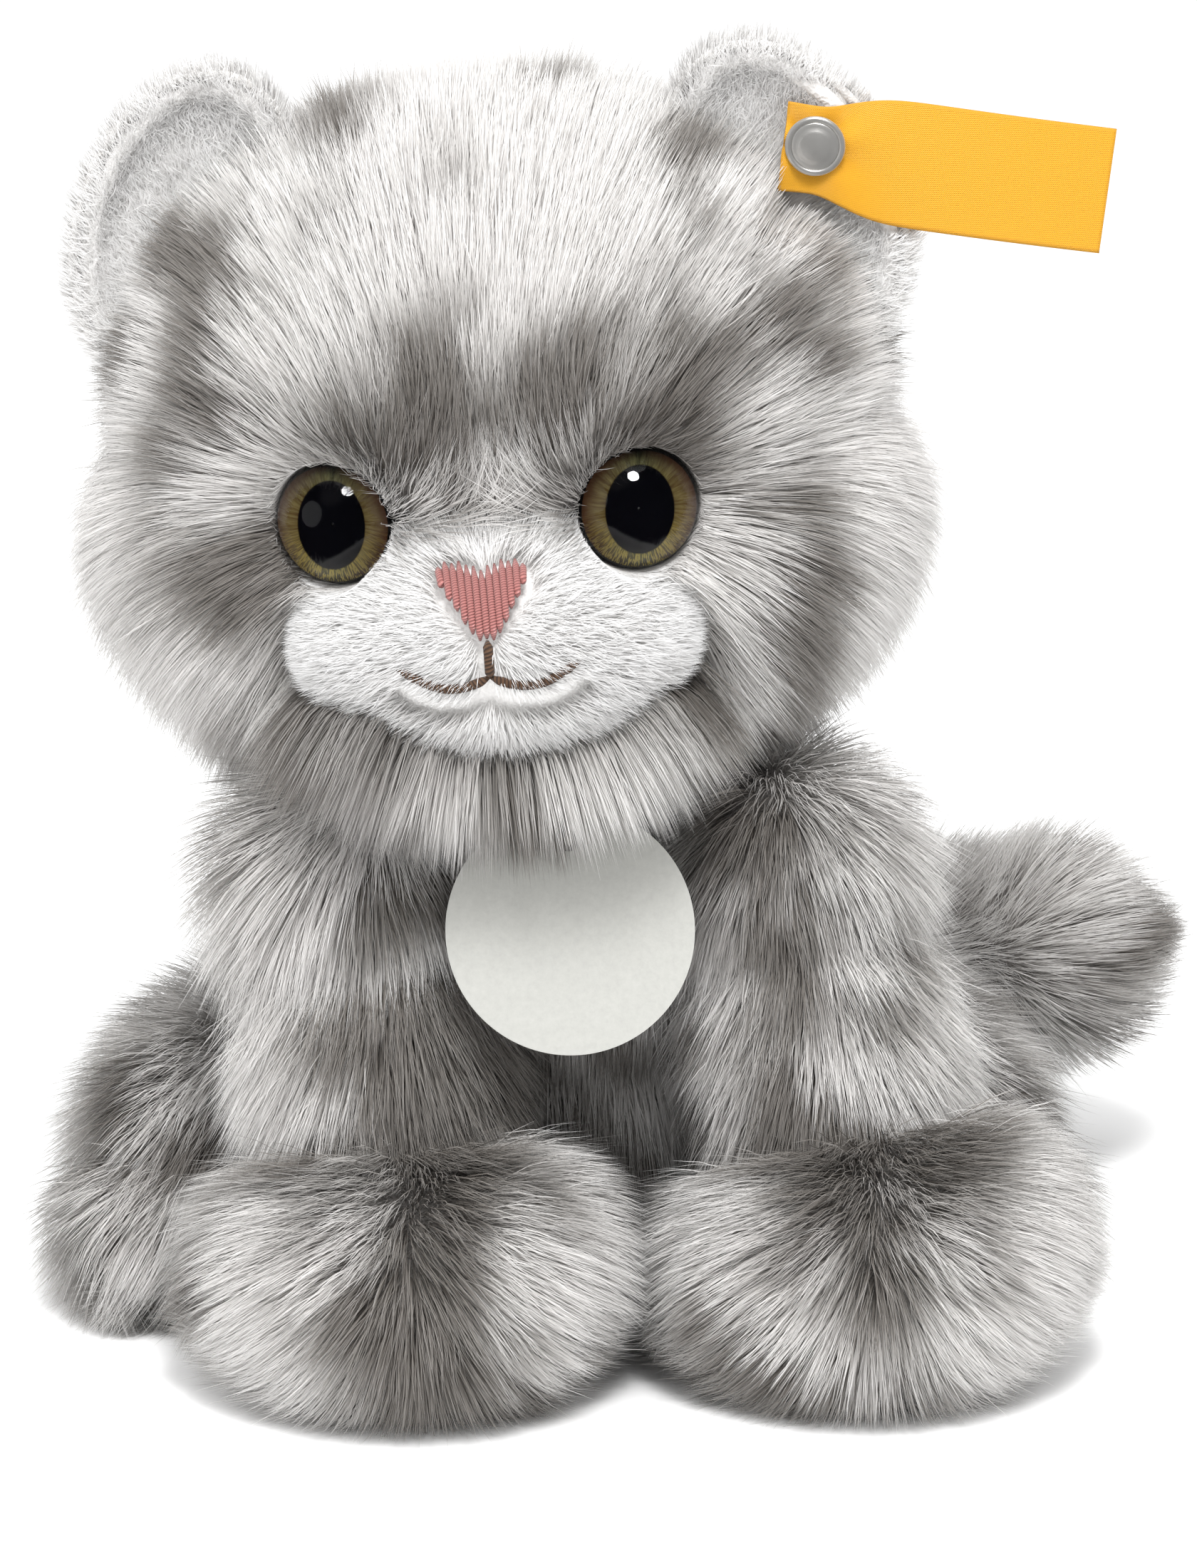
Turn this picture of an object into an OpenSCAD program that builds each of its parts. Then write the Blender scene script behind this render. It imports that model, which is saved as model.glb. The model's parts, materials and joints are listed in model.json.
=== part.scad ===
// Seated plush kitten, long silver pile over stuffed fabric panels.
// Frame: +Z up, the kitten faces -Y, its own left side is +X.
// Origin: middle of the flat seat panel, on the surface that it sits on.
// Every skin's outer face is the mean level of its brushed pile.

/* [Torso] */
// Half-sizes of the egg that the torso is cut from
torso_half = [36, 29, 46]; // [20:1:60]
// Middle of that egg above the seat
torso_mid = [0, 8, 30]; // [0:1:40]
// Radius and middle of the chest
chest_r = 21; // [15:1:24]
chest_mid = [0, -7, 53]; // [-10:1:60]
// Thickness of the long-pile skin panels
skin = 4; // [3:0.5:5]

/* [Head] */
// Middle of the head
head_at = [-7.5, -5, 112]; // [-10:0.5:120]
// Sideways lean of the head, degrees
head_roll = -3.7; // [-6:0.1:6]
// Turn of the face towards the kitten's right, degrees
head_yaw = -7; // [-12:0.5:12]
// Half-sizes of the crown
crown_half = [46, 41, 38]; // [30:1:50]
// Half-sizes of the full cheeks
cheek_half = [49, 37, 29]; // [25:1:52]
// Half-sizes of the white muzzle
muzzle_half = [24, 15, 14.5]; // [10:0.5:28]
// Half-width of the strip that runs over the top of the head
gusset_half = 13; // [8:1:20]
// Point that the head turns and nods about
neck_at = [-6, 1, 79]; // [-5:1:85]
// Radius of the stuffed neck
neck_r = 16; // [12:1:18]

/* [Eyes] */
// Diameter of a safety eye
eye_d = 15.6; // [12:0.2:18]
// Height of its clear dome
eye_dome_h = 5.4; // [4:0.2:7]
// Distance from the middle of the face to each eye
eye_x = 18.6; // [15:0.2:24]
// Diameter of the eye's post
post_d = 3.6; // [2:0.2:5]
// Diameter of the lock washer on the post
washer_d = 12; // [9:0.5:14]

/* [Ears] */
// Half-width and half-height of an ear
ear_half = [14.5, 21.5]; // [10:0.5:26]
// Distance of the ear's middle from the middle of the head
ear_x = 38; // [34:0.5:42]
// Height of the ear's middle over the middle of the head
ear_z = 30; // [26:0.5:34]
// Inward lean of the ears, degrees
ear_lean = 21; // [10:1:28]
// Gap between the ear's edge and the head
ear_gap = 1.4; // [1:0.1:2]

/* [Ear button and flag] */
// Diameter of the metal button
button_d = 7.6; // [6:0.2:9]
// Place of the button, out and up from the ear's middle
button_at = [6.2, 5]; // [-4:0.2:10]
// Length of the woven ribbon beyond the button
flag_l = 37; // [25:1:45]
// Width of the ribbon
flag_w = 16; // [12:0.5:18]
// Slope of the ribbon below level, degrees
flag_slope = 7; // [0:1:15]
// Distance of the ribbon's middle line below the button
flag_drop = 1; // [0:0.5:2]

/* [Front legs] */
// Radius of the shoulder
shoulder_r = 15; // [12:0.5:16]
// Half-sizes of a front paw
paw_half = [23, 26, 16]; // [12:1:26]
// Shoulders, kitten's right and left
shoulder_at = [[-25, -22, 59.5], [26, -21, 59.5]]; // [-30:1:65]
// Middles of the front paws, right and left
paw_at = [[-22, -41, 15], [36, -41, 15]]; // [-45:1:40]

/* [Hind legs] */
// Half-sizes of a thigh
thigh_half = [15, 25, 17]; // [12:1:28]
// Middles of the thighs, right and left
thigh_at = [[-39, 9, 17], [40, 9, 17]]; // [-45:1:45]
// Outward heading of the hind legs, degrees
hind_heading = 33; // [20:1:40]
// Half-sizes of a hind foot
foot_half = [11, 18, 11]; // [8:0.5:20]
// Reach of the foot's middle in front of the thigh's
foot_reach = 15; // [10:1:18]
// Outward travel of a hind leg, degrees
hind_travel = 12; // [5:1:15]

/* [Tail] */
// Root of the tail, at its pivot
tail_at = [13, 38, 18]; // [0:1:45]
// Radius of the tail
tail_r = 10; // [8:0.5:11]
// Bend radius of the tail
tail_bend = 58; // [45:1:80]
// Angle that the tail curls through, degrees
tail_turn = 58; // [30:1:70]

/* [Chest tag] */
// Diameter of the card
tag_d = 31; // [24:0.5:34]
// Thickness of the card
tag_t = 0.6; // [0.4:0.1:1]
// Middle of the card
tag_at = [-1.7, -45.5, 59]; // [-50:0.5:60]
// Lean of the card, degrees from upright
tag_lean = 19; // [10:1:30]

/* [Hidden] */
$fn = 48;

RIGHT = 0;
LEFT = 1;
big = 200;             // larger than the whole kitten
clear = 0.4;           // gap between pieces that move on each other
fur_light = "#d9d4d2";
fur_mid = "#b3adab";
fur_dark = "#8c8684";
white_plush = "#f5f3ef";
fibre = "#fbfbf8";

// ---------------------------------------------------------------- shared shapes

module egg(half, grow = 0) scale([half[0] + grow, half[1] + grow, half[2] + grow] / 10) sphere(r = 10);

// All space on the +X side (side = 1) or the -X side (side = -1)
module side_space(side) translate([side > 0 ? 0 : -big, -big / 2, -big / 2]) cube(big);

module above_floor() intersection() {
    children();
    translate([-big, -big, 0]) cube(2 * big);
}

// Sign of a side: the right is -X, the left is +X
function sign_of(side) = side == LEFT ? 1 : -1;

// ---------------------------------------------------------------- torso

module torso_form(grow = 0) {
    translate(torso_mid) egg(torso_half, grow);
    translate(chest_mid) sphere(r = chest_r + grow);
}

// Room for everything that moves against the torso
module torso_recesses() {
    translate(neck_at) sphere(r = neck_r + clear);
    for (side = [RIGHT, LEFT]) {
        leg_shape(side, clear + 0.2);
        for (a = [0, hind_travel]) splayed(side, a) hind_shape(side, clear + 0.2);
    }
    translate(tail_at) sphere(r = tail_r + tail_end + clear);
    tail_arc(tail_r + clear, 30);
}

module torso_filling() intersection() {
    torso_form(-skin);
    translate([-big, -big, skin]) cube(2 * big);
}

module torso_skin() difference() {
    above_floor() torso_form();
    torso_filling();
    torso_recesses();
}

module torso_back(side) color(fur_light) difference() {
    intersection() {
        torso_skin();
        translate([0, torso_mid[1], skin]) side_space(sign_of(side));
        translate([-big, torso_mid[1], skin]) cube(2 * big);
    }
    closing_thread();
}

module torso_back_left() torso_back(LEFT);
module torso_back_right() torso_back(RIGHT);

module torso_belly() color(fur_mid) intersection() {
    torso_skin();
    translate([-big, torso_mid[1] - 2 * big, skin]) cube(2 * big);
}

module torso_seat() color(fur_dark) intersection() {
    torso_skin();
    translate([-big, -big, -big]) cube([2 * big, 2 * big, big + skin]);
}

module torso_stuffing() color(fibre) difference() {
    torso_filling();
    torso_recesses();
}

// Ladder stitches that close the stuffing hole in the back seam
stitch_r = 0.4;
stitch_l = 5;
stitch_step = 3;
stitch_z = [36, 54];

function back_y(z) = torso_mid[1] + (torso_half[1] - skin / 2) * sqrt(1 - pow((z - torso_mid[2]) / torso_half[2], 2));

module closing_thread()
    for (z = [stitch_z[0] : stitch_step : stitch_z[1]])
        translate([-stitch_l / 2, back_y(z), z]) rotate([0, 90, 0]) cylinder(r = stitch_r, h = stitch_l);

module closing_stitches() color(fur_mid) closing_thread();

// ---------------------------------------------------------------- head

module at_head() translate(head_at) rotate([0, head_roll, head_yaw]) children();

head_skin = 4.5;
crown_mid = [0, 2, 6];
cheek_mid = [0, -1, -8];
muzzle_mid = [0, -34.5, -17];
muzzle_skin = 3;

// The head's solid form in its own frame
module head_form(grow = 0) {
    translate(crown_mid) egg(crown_half, grow);
    translate(cheek_mid) egg(cheek_half, grow);
}

module muzzle_form(grow = 0) translate(muzzle_mid) egg(muzzle_half, grow);

module neck_room() translate(neck_at) sphere(r = neck_r + clear);

module head_skin_whole() difference() {
    head_form();
    head_form(-head_skin);
    muzzle_form(-muzzle_skin);
    eye_room(LEFT);
    eye_room(RIGHT);
    ear_groove(LEFT);
    ear_groove(RIGHT);
}

module head_side(side) color(fur_light) difference() {
    at_head() intersection() {
        head_skin_whole();
        translate([sign_of(side) * gusset_half, 0, 0]) side_space(sign_of(side));
    }
    neck_room();
}

module head_side_left() head_side(LEFT);
module head_side_right() head_side(RIGHT);

// The middle strip of the head's skin: the gusset over the crown, and the throat below the muzzle
module head_strip() intersection() {
    head_skin_whole();
    translate([-gusset_half, -big / 2, -big / 2]) cube([2 * gusset_half, big, big]);
}

module throat_space() translate([-big / 2, -big, -big]) cube([big, big, big + muzzle_mid[2]]);

module head_gusset() color(fur_light) difference() {
    at_head() difference() {
        head_strip();
        throat_space();
    }
    neck_room();
}

module throat_panel() color(fur_mid) difference() {
    at_head() intersection() {
        head_strip();
        throat_space();
    }
    neck_room();
}

module muzzle_panel() color(white_plush) at_head() difference() {
    muzzle_form();
    muzzle_form(-muzzle_skin);
    head_form();
    eye_room(LEFT);
    eye_room(RIGHT);
}

module head_stuffing() color(fibre) difference() {
    at_head() difference() {
        union() {
            head_form(-head_skin);
            muzzle_form(-muzzle_skin);
        }
        eye_room(LEFT);
        eye_room(RIGHT);
    }
    neck_room();
}

module neck_stuffing() color(fibre) translate(neck_at) sphere(r = neck_r);

// ---------------------------------------------------------------- eyes

eye_z = -1.5;
eye_out = 17;         // outward look of each eye, degrees
eye_sink = 0.6;       // how far the rim sits in the pile
back_t = 1.2;         // thickness of the eye's back disc
post_l = 8.5;
washer_t = 1.2;

// Front of the crown at a point of the face
function crown_front(x, z) = crown_mid[1] - crown_half[1]
    * sqrt(1 - pow(x / crown_half[0], 2) - pow((z - crown_mid[2]) / crown_half[2], 2));

// The eye's own frame: +Z looks out of the face
module at_eye(side)
    translate([sign_of(side) * eye_x, crown_front(eye_x, eye_z) + eye_sink, eye_z])
        rotate([90, 0, sign_of(side) * eye_out]) children();

module eye_room(side) at_eye(side) {
    translate([0, 0, -back_t]) cylinder(d = eye_d + 0.2, h = 20);
    translate([0, 0, -post_l]) cylinder(d = post_d, h = post_l);
    translate([0, 0, -post_l + 1]) cylinder(d = washer_d, h = washer_t);
}

module eye_dome(side) color("#c8cfc0", 0.5) at_head() at_eye(side) intersection() {
    dome_r = (pow(eye_d / 2, 2) + pow(eye_dome_h, 2)) / (2 * eye_dome_h);
    translate([0, 0, eye_dome_h - dome_r]) sphere(r = dome_r);
    cylinder(d = eye_d, h = eye_dome_h + 1);
}

module eye_dome_left() eye_dome(LEFT);
module eye_dome_right() eye_dome(RIGHT);

module eye_back(side) color("#5c5a32") at_head() at_eye(side) {
    translate([0, 0, -back_t]) cylinder(d = eye_d, h = back_t);
    translate([0, 0, -post_l]) cylinder(d = post_d, h = post_l);
}

module eye_back_left() eye_back(LEFT);
module eye_back_right() eye_back(RIGHT);

module eye_washer(side) color("#e8e8e4") at_head() at_eye(side)
    translate([0, 0, -post_l + 1]) difference() {
        cylinder(d = washer_d, h = washer_t);
        translate([0, 0, -1]) cylinder(d = post_d, h = washer_t + 2);
    }

module eye_washer_left() eye_washer(LEFT);
module eye_washer_right() eye_washer(RIGHT);

// ---------------------------------------------------------------- nose and mouth

nose_raise = 1;
nose_w = 11;
nose_h = 8.4;
nose_z = -9.5;        // middle of the nose below the middle of the head
nose_tip_r = 1.1;     // round lower end of the nose
nose_dip = 0.9;       // depth of the dip in its upper edge
nose_dip_r = 2.6;
mouth_raise = 0.5;
mouth_line = 0.8;
mouth_z = -20.5;
mouth_mid = 5.4;      // middle of each half of the smile, from the face's centre line
mouth_up = 6;         // and above the smile's lowest point in the centre
mouth_r = norm([mouth_mid, mouth_up]);

// A raised patch of embroidery on the muzzle, cut to a flat outline in XZ
module on_muzzle(raise) at_head() intersection() {
    difference() {
        muzzle_form(raise);
        muzzle_form();
    }
    translate([0, muzzle_mid[1], 0]) rotate([90, 0, 0]) linear_extrude(height = 40) children();
}

module nose_outline() difference() {
    lobe_r = nose_w / 5;
    lobe_z = nose_z + nose_h / 2 - lobe_r;
    hull() {
        for (x = [-1, 1] * (nose_w / 2 - lobe_r)) translate([x, lobe_z]) circle(r = lobe_r, $fn = 32);
        translate([0, nose_z - nose_h / 2 + nose_tip_r]) circle(r = nose_tip_r, $fn = 24);
    }
    translate([0, nose_z + nose_h / 2 + nose_dip_r - nose_dip]) circle(r = nose_dip_r);
}

module nose_embroidery() color("#d98c86") on_muzzle(nose_raise) nose_outline();

module mouth_outline() {
    translate([-mouth_line / 2, mouth_z]) square([mouth_line, nose_z - nose_h / 2 - mouth_z]);
    for (m = [0, 1]) mirror([m, 0]) intersection() {
        translate([mouth_mid, mouth_z + mouth_up]) difference() {
            circle(r = mouth_r + mouth_line / 2);
            circle(r = mouth_r - mouth_line / 2);
        }
        translate([-0.05, mouth_z - 4]) square([11.5, 6.5]);
    }
}

module mouth_embroidery() color("#5b3a22") on_muzzle(mouth_raise) mouth_outline();

// ---------------------------------------------------------------- ears

ear_y = -3;           // the rim plane's place behind the middle of the head
ear_deep = 7.5;       // thickness of the ear behind its rim
ear_cup = 3;          // depth of the hollow in its front
ear_front_t = 2.4;    // thickness of the white front panel
seam_r = 1.2;
seam_l = 14;

// The ear's own frame: X outwards, Z along the ear, the rim in the XZ plane
module at_ear(side) translate([sign_of(side) * ear_x, ear_y, ear_z])
    rotate([0, -sign_of(side) * ear_lean, 0]) mirror([side == LEFT ? 0 : 1, 0, 0]) children();

module ear_egg(inset, deep) scale([(ear_half[0] - inset) / 10, deep / 10, (ear_half[1] - inset) / 10]) sphere(r = 10);

module behind_rim() intersection() {
    children();
    translate([-big / 2, 0, -big / 2]) cube(big);
}

// The base seam runs along the surface of the crown, in the head's frame
seam_turn = 39;       // slope of the base seam from upright, degrees
function crown_xz(a) = [crown_mid[0] + crown_half[0] * cos(a), crown_mid[2] + crown_half[2] * sin(a)];
seam_angle = 36;      // place of the seam's middle round the crown
seam_mid = crown_xz(seam_angle);

module at_seam(side) mirror([side == LEFT ? 0 : 1, 0, 0])
    translate([seam_mid[0], crown_mid[1], seam_mid[1]]) rotate([0, -seam_turn, 0]) children();

module seam_rod(side, r) at_seam(side) translate([0, 0, -seam_l / 2]) cylinder(r = r, h = seam_l);

module ear_groove(side) seam_rod(side, seam_r + clear);

module ear_front(side) color(white_plush) at_head() difference() {
    at_ear(side) behind_rim() difference() {
        ear_egg(1.6, ear_cup + ear_front_t);
        ear_egg(4, ear_cup);
    }
    head_form(ear_gap);
    seam_rod(side, seam_r);
    if (side == LEFT) button_room();
}

module ear_front_left() ear_front(LEFT);
module ear_front_right() ear_front(RIGHT);

module ear_back(side) color(fur_mid) at_head() difference() {
    at_ear(side) behind_rim() difference() {
        ear_egg(0, ear_deep);
        ear_egg(1.6, ear_cup + ear_front_t);
    }
    head_form(ear_gap);
    seam_rod(side, seam_r);
    if (side == LEFT) button_room();
}

module ear_back_left() ear_back(LEFT);
module ear_back_right() ear_back(RIGHT);

module ear_seam(side) color(fur_mid) at_head() seam_rod(side, seam_r);

module ear_seam_left() ear_seam(LEFT);
module ear_seam_right() ear_seam(RIGHT);

// ---------------------------------------------------------------- ear button and flag

button_t = 1.6;
rivet_d = 1.8;
flag_t = 0.6;
flag_front = 1.4;     // the ribbon's front face stands this far before the rim
rivet_washer_d = 6;
rivet_washer_t = 0.8;
rivet_back = 8.2;     // the rivet's end behind the rim

// The button's own frame in the head's frame: Z looks forwards
module at_button() at_ear(LEFT) translate([button_at[0], 0, button_at[1]]) rotate([90, 0, 0]) children();

module rivet_shaft(d) translate([0, 0, -rivet_back]) cylinder(d = d, h = rivet_back + flag_front);

module button_room() at_button() rivet_shaft(rivet_d);

module ear_button() color("#b9b7b2") at_head() at_button() {
    rivet_shaft(rivet_d);
    translate([0, 0, flag_front]) intersection() {
        cap_r = (pow(button_d / 2, 2) + pow(button_t, 2)) / (2 * button_t);
        translate([0, 0, button_t - cap_r]) sphere(r = cap_r);
        cylinder(d = button_d, h = button_t + 1);
    }
}

module ear_button_washer() color("#a9a7a2") at_head() at_button()
    translate([0, 0, -rivet_back]) difference() {
        cylinder(d = rivet_washer_d, h = rivet_washer_t);
        translate([0, 0, -1]) cylinder(d = rivet_d, h = rivet_washer_t + 2);
    }

module ear_flag() color("#f5b324") at_head() at_button()
    rotate([0, 0, head_roll - ear_lean - flag_slope]) translate([0, 0, flag_front - flag_t - 0.1]) difference() {
        translate([-flag_w / 4, -flag_w / 2 - flag_drop, 0]) cube([flag_l + flag_w / 4, flag_w, flag_t]);
        translate([0, 0, -1]) cylinder(d = rivet_d + 0.2, h = flag_t + 2);
    }

// ---------------------------------------------------------------- front legs

// An egg that runs from one point to another, round across
module long_egg(a, b, r, past) {
    d = b - a;
    translate((a + b) / 2) rotate([acos(d[2] / norm(d)), 0, atan2(d[1], d[0]) + 90])
        egg([r, r, norm(d) / 2 + past]);
}

arm_r = 13.5;
arm_past = 10;        // how far the arm's egg runs past the shoulder and the wrist
wrist_in_paw = [0, 6, 2];

// A leg's own frame: the shoulder at the origin, the whole leg in the YZ plane
function leg_run(side) = paw_at[side] - shoulder_at[side];
function leg_drop(side) = norm([leg_run(side)[0], leg_run(side)[2]]);
function paw_mid(side) = [0, leg_run(side)[1], -leg_drop(side)];

module in_leg(side) translate(shoulder_at[side])
    rotate([0, -asin(leg_run(side)[0] / leg_drop(side)), 0]) children();

module leg_shape(side, grow = 0) above_floor() in_leg(side) {
    sphere(r = shoulder_r + grow);
    long_egg([0, -1, 0], paw_mid(side) + wrist_in_paw, arm_r + grow, arm_past + grow);
    translate(paw_mid(side)) egg(paw_half, grow);
}

module leg_filling(side) intersection() {
    leg_shape(side, -skin);
    translate([-big, -big, skin]) cube(2 * big);
}

panel_shift = 0.7;    // the seam between two panels runs this far beside the limb's middle

// The leg's panels meet on the plane through the shoulder and the paw
module leg_panel(side, out) difference() {
    leg_shape(side);
    leg_filling(side);
    in_leg(side) side_space(-out * sign_of(side));
}

module front_leg_outer(side) color(fur_light) leg_panel(side, 1);

module front_leg_outer_left() front_leg_outer(LEFT);
module front_leg_outer_right() front_leg_outer(RIGHT);

module front_leg_inner(side) color(fur_mid) leg_panel(side, -1);

module front_leg_inner_left() front_leg_inner(LEFT);
module front_leg_inner_right() front_leg_inner(RIGHT);

module front_leg_stuffing_left() color(fibre) leg_filling(LEFT);
module front_leg_stuffing_right() color(fibre) leg_filling(RIGHT);

// ---------------------------------------------------------------- hind legs

hip_back = 14;        // the hip's pivot behind the middle of the thigh
hip_in = 4;           // and towards the middle of the torso
foot_mid = [0, -foot_reach, foot_half[2] - thigh_at[RIGHT][2]];

function hip_at(side) = thigh_at[side] + [-sign_of(side) * hip_in, hip_back, 0];

module splayed(side, a) translate(hip_at(side)) rotate([0, 0, sign_of(side) * a]) translate(-hip_at(side)) children();

// A hind leg's own frame: the thigh's middle at the origin, the foot towards -Y
module in_hind(side) translate(thigh_at[side]) rotate([0, 0, sign_of(side) * hind_heading]) children();

module hind_shape(side, grow = 0) above_floor() in_hind(side) {
    egg(thigh_half, grow);
    translate(foot_mid) egg(foot_half, grow);
}

module hind_filling(side) intersection() {
    hind_shape(side, -skin);
    translate([-big, -big, skin]) cube(2 * big);
}

module hind_panel(side, out) difference() {
    hind_shape(side);
    hind_filling(side);
    in_hind(side) side_space(-out * sign_of(side));
}

module hind_leg_outer(side) color(fur_light) hind_panel(side, 1);

module hind_leg_outer_left() hind_leg_outer(LEFT);
module hind_leg_outer_right() hind_leg_outer(RIGHT);

module hind_leg_inner(side) color(fur_mid) hind_panel(side, -1);

module hind_leg_inner_left() hind_leg_inner(LEFT);
module hind_leg_inner_right() hind_leg_inner(RIGHT);

module hind_leg_stuffing_left() color(fibre) hind_filling(LEFT);
module hind_leg_stuffing_right() color(fibre) hind_filling(RIGHT);

// ---------------------------------------------------------------- tail

tail_heading = 28;    // direction of the tail at its root, degrees from +X towards +Y
tail_rise = 16;       // upward tilt of the tail's plane, degrees
tail_skin = 3.5;
tail_end = 0.5;       // the root and the tip are this much fuller than the tail

// The tail's frame: the root at the origin, leaving along +X and curling to -Y
module at_tail() translate(tail_at) rotate([0, -tail_rise, tail_heading]) children();

module tail_arc(r, turn = tail_turn) at_tail()
    translate([0, -tail_bend, 0]) rotate([0, 0, 90 - turn])
        rotate_extrude(angle = turn) translate([tail_bend, 0]) rotate([0, 0, 90]) circle(r = r);

// A bent tube with a round root and tip; pole_turn turns the poles of its two end spheres
module tail_shape(inset = 0, pole_turn = 0) {
    tail_arc(tail_r - inset);
    at_tail() rotate([pole_turn, 0, 0]) sphere(r = tail_r + tail_end - inset);
    at_tail() translate([0, -tail_bend, 0]) rotate([0, 0, -tail_turn]) translate([0, tail_bend, 0])
        rotate([pole_turn, 0, 0]) sphere(r = tail_r + 2 * tail_end - inset);
}

module tail_half(up) intersection() {
    difference() {
        tail_shape();
        tail_shape(tail_skin);
    }
    at_tail() translate([-big / 2, -big / 2, up ? panel_shift : panel_shift - big]) cube(big);
}

module tail_upper() color(fur_light) tail_half(true);
module tail_lower() color(fur_dark) tail_half(false);
module tail_stuffing() color(fibre) tail_shape(tail_skin, 90);

// ---------------------------------------------------------------- chest tag

thread_r = 0.5;
eyelet_r = 1.2;
eyelet_up = 11;       // the hole above the middle of the card
loop_r = 2.6;         // half the loop's height; the card swings about the middle of its front bend
loop_l = 15.0;        // from the front bend back to the chest

// The card's own frame: +Z looks forwards, +Y runs up the card
module at_tag() translate(tag_at) rotate([90 - tag_lean, 0, 0]) children();

module chest_tag() color("#eceae2") at_tag() difference() {
    translate([0, 0, -tag_t / 2]) cylinder(d = tag_d, h = tag_t);
    translate([0, eyelet_up, -tag_t]) cylinder(r = eyelet_r, h = 2 * tag_t);
}

module loop_bend() rotate([0, 0, 90]) rotate_extrude(angle = 180)
    translate([loop_r, 0]) circle(r = thread_r, $fn = 16);

// A loop of thread through the card's hole and over its top edge, sewn to the chest at its back
module tag_thread() color("#f0efe8") at_tag() translate([0, eyelet_up + loop_r, 0]) rotate([0, 90, 0]) {
    loop_bend();
    for (way = [-1, 1]) translate([0, way * loop_r, 0]) rotate([0, 90, 0])
        cylinder(r = thread_r, h = loop_l, $fn = 16);
    translate([loop_l, 0, 0]) mirror([1, 0, 0]) loop_bend();
}

// ---------------------------------------------------------------- assembly

torso_back_left();
torso_back_right();
torso_belly();
torso_seat();
torso_stuffing();
closing_stitches();
neck_stuffing();
head_side_left();
head_side_right();
head_gusset();
throat_panel();
muzzle_panel();
head_stuffing();
eye_dome_left();
eye_dome_right();
eye_back_left();
eye_back_right();
eye_washer_left();
eye_washer_right();
nose_embroidery();
mouth_embroidery();
ear_front_left();
ear_front_right();
ear_back_left();
ear_back_right();
ear_seam_left();
ear_seam_right();
ear_button();
ear_button_washer();
ear_flag();
front_leg_outer_left();
front_leg_outer_right();
front_leg_inner_left();
front_leg_inner_right();
front_leg_stuffing_left();
front_leg_stuffing_right();
hind_leg_outer_left();
hind_leg_outer_right();
hind_leg_inner_left();
hind_leg_inner_right();
hind_leg_stuffing_left();
hind_leg_stuffing_right();
tail_upper();
tail_lower();
tail_stuffing();
chest_tag();
tag_thread();
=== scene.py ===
"""A seated plush kitten: long two-tone pile over stuffed panels, a short-pile muzzle and ears,
plastic eyes, a stitched nose and mouth, an ear button with its ribbon, and a round chest tag."""

import json
import math

import bmesh
import bpy
import numpy as np
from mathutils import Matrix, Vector, noise
from mathutils.bvhtree import BVHTree
from mathutils.kdtree import KDTree


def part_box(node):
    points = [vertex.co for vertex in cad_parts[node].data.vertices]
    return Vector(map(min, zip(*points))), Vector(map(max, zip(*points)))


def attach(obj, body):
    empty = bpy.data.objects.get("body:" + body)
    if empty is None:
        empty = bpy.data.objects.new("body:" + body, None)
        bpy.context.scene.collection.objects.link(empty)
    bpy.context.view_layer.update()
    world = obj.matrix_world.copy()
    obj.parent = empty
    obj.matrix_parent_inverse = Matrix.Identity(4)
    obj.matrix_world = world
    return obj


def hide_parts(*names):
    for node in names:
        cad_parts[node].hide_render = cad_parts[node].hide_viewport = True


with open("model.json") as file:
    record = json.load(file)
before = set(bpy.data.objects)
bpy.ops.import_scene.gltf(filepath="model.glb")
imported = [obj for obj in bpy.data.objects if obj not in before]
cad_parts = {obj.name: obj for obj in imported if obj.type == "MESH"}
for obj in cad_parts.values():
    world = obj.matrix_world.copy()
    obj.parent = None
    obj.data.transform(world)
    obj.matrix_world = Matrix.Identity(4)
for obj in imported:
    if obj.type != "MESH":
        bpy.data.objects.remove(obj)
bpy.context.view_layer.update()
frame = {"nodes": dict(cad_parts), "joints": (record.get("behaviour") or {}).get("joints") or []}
NODES = frame["nodes"]
MM = 0.001

# Camera: the point it looks at, where it stands, and how tall the view is at that point, in mm
LOOK_AT = (5, 0, 65.5)
AZIMUTH, ELEVATION, DISTANCE = -4, 15, 1000
VIEW_HEIGHT = 203

# Pile: each coat has strands per mm2, length and width in mm, the angles in degrees at which a
# strand leaves the cloth and ends, how far it turns aside, its droop, the area of one lock in mm2,
# how far the lock's tips gather, and the share of stray strands
LONG_COAT = dict(
    density=6.5, length=13.0, width=0.12, lift=40, tip_lift=10, turn=0.13, droop=0.12,
    lock=4.5, gather=0.36, stray=0.08,
)
HEAD_COAT = dict(LONG_COAT, length=13.5, lift=42, tip_lift=12, droop=0.06)
RUFF_COAT = dict(HEAD_COAT, density=8.0, length=17.5, lift=62, tip_lift=40, stray=0.04)
PAW_COAT = dict(LONG_COAT, length=12.6, lift=54, tip_lift=22, droop=0.05, lock=5.5, gather=0.42)
HIND_COAT = dict(PAW_COAT, length=15.5)
TAIL_COAT = dict(LONG_COAT, length=12.5, lift=56, tip_lift=34, droop=0.03, lock=5.0)
EAR_COAT = dict(LONG_COAT, density=9.0, length=4.2, width=0.11, lift=48, tip_lift=24, lock=2.5)
SHORT_COAT = dict(
    density=16.0, length=4.3, width=0.11, lift=58, tip_lift=30, turn=0.4, droop=0.08,
    lock=2.0, gather=0.35, stray=0.1,
)
FELT_COAT = dict(SHORT_COAT, length=4.2, lift=48, tip_lift=18, turn=0.5)
# Each strand's straight steps, and the height over the floor that strands keep
SEGMENTS = 3
FLOOR_CLEARANCE = 0.25

# Backing cloth: how far it lies under the surface that the strands start from, and its thickness
BACKING_INSET = 1.4
BACKING_THICKNESS = 0.8
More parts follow.
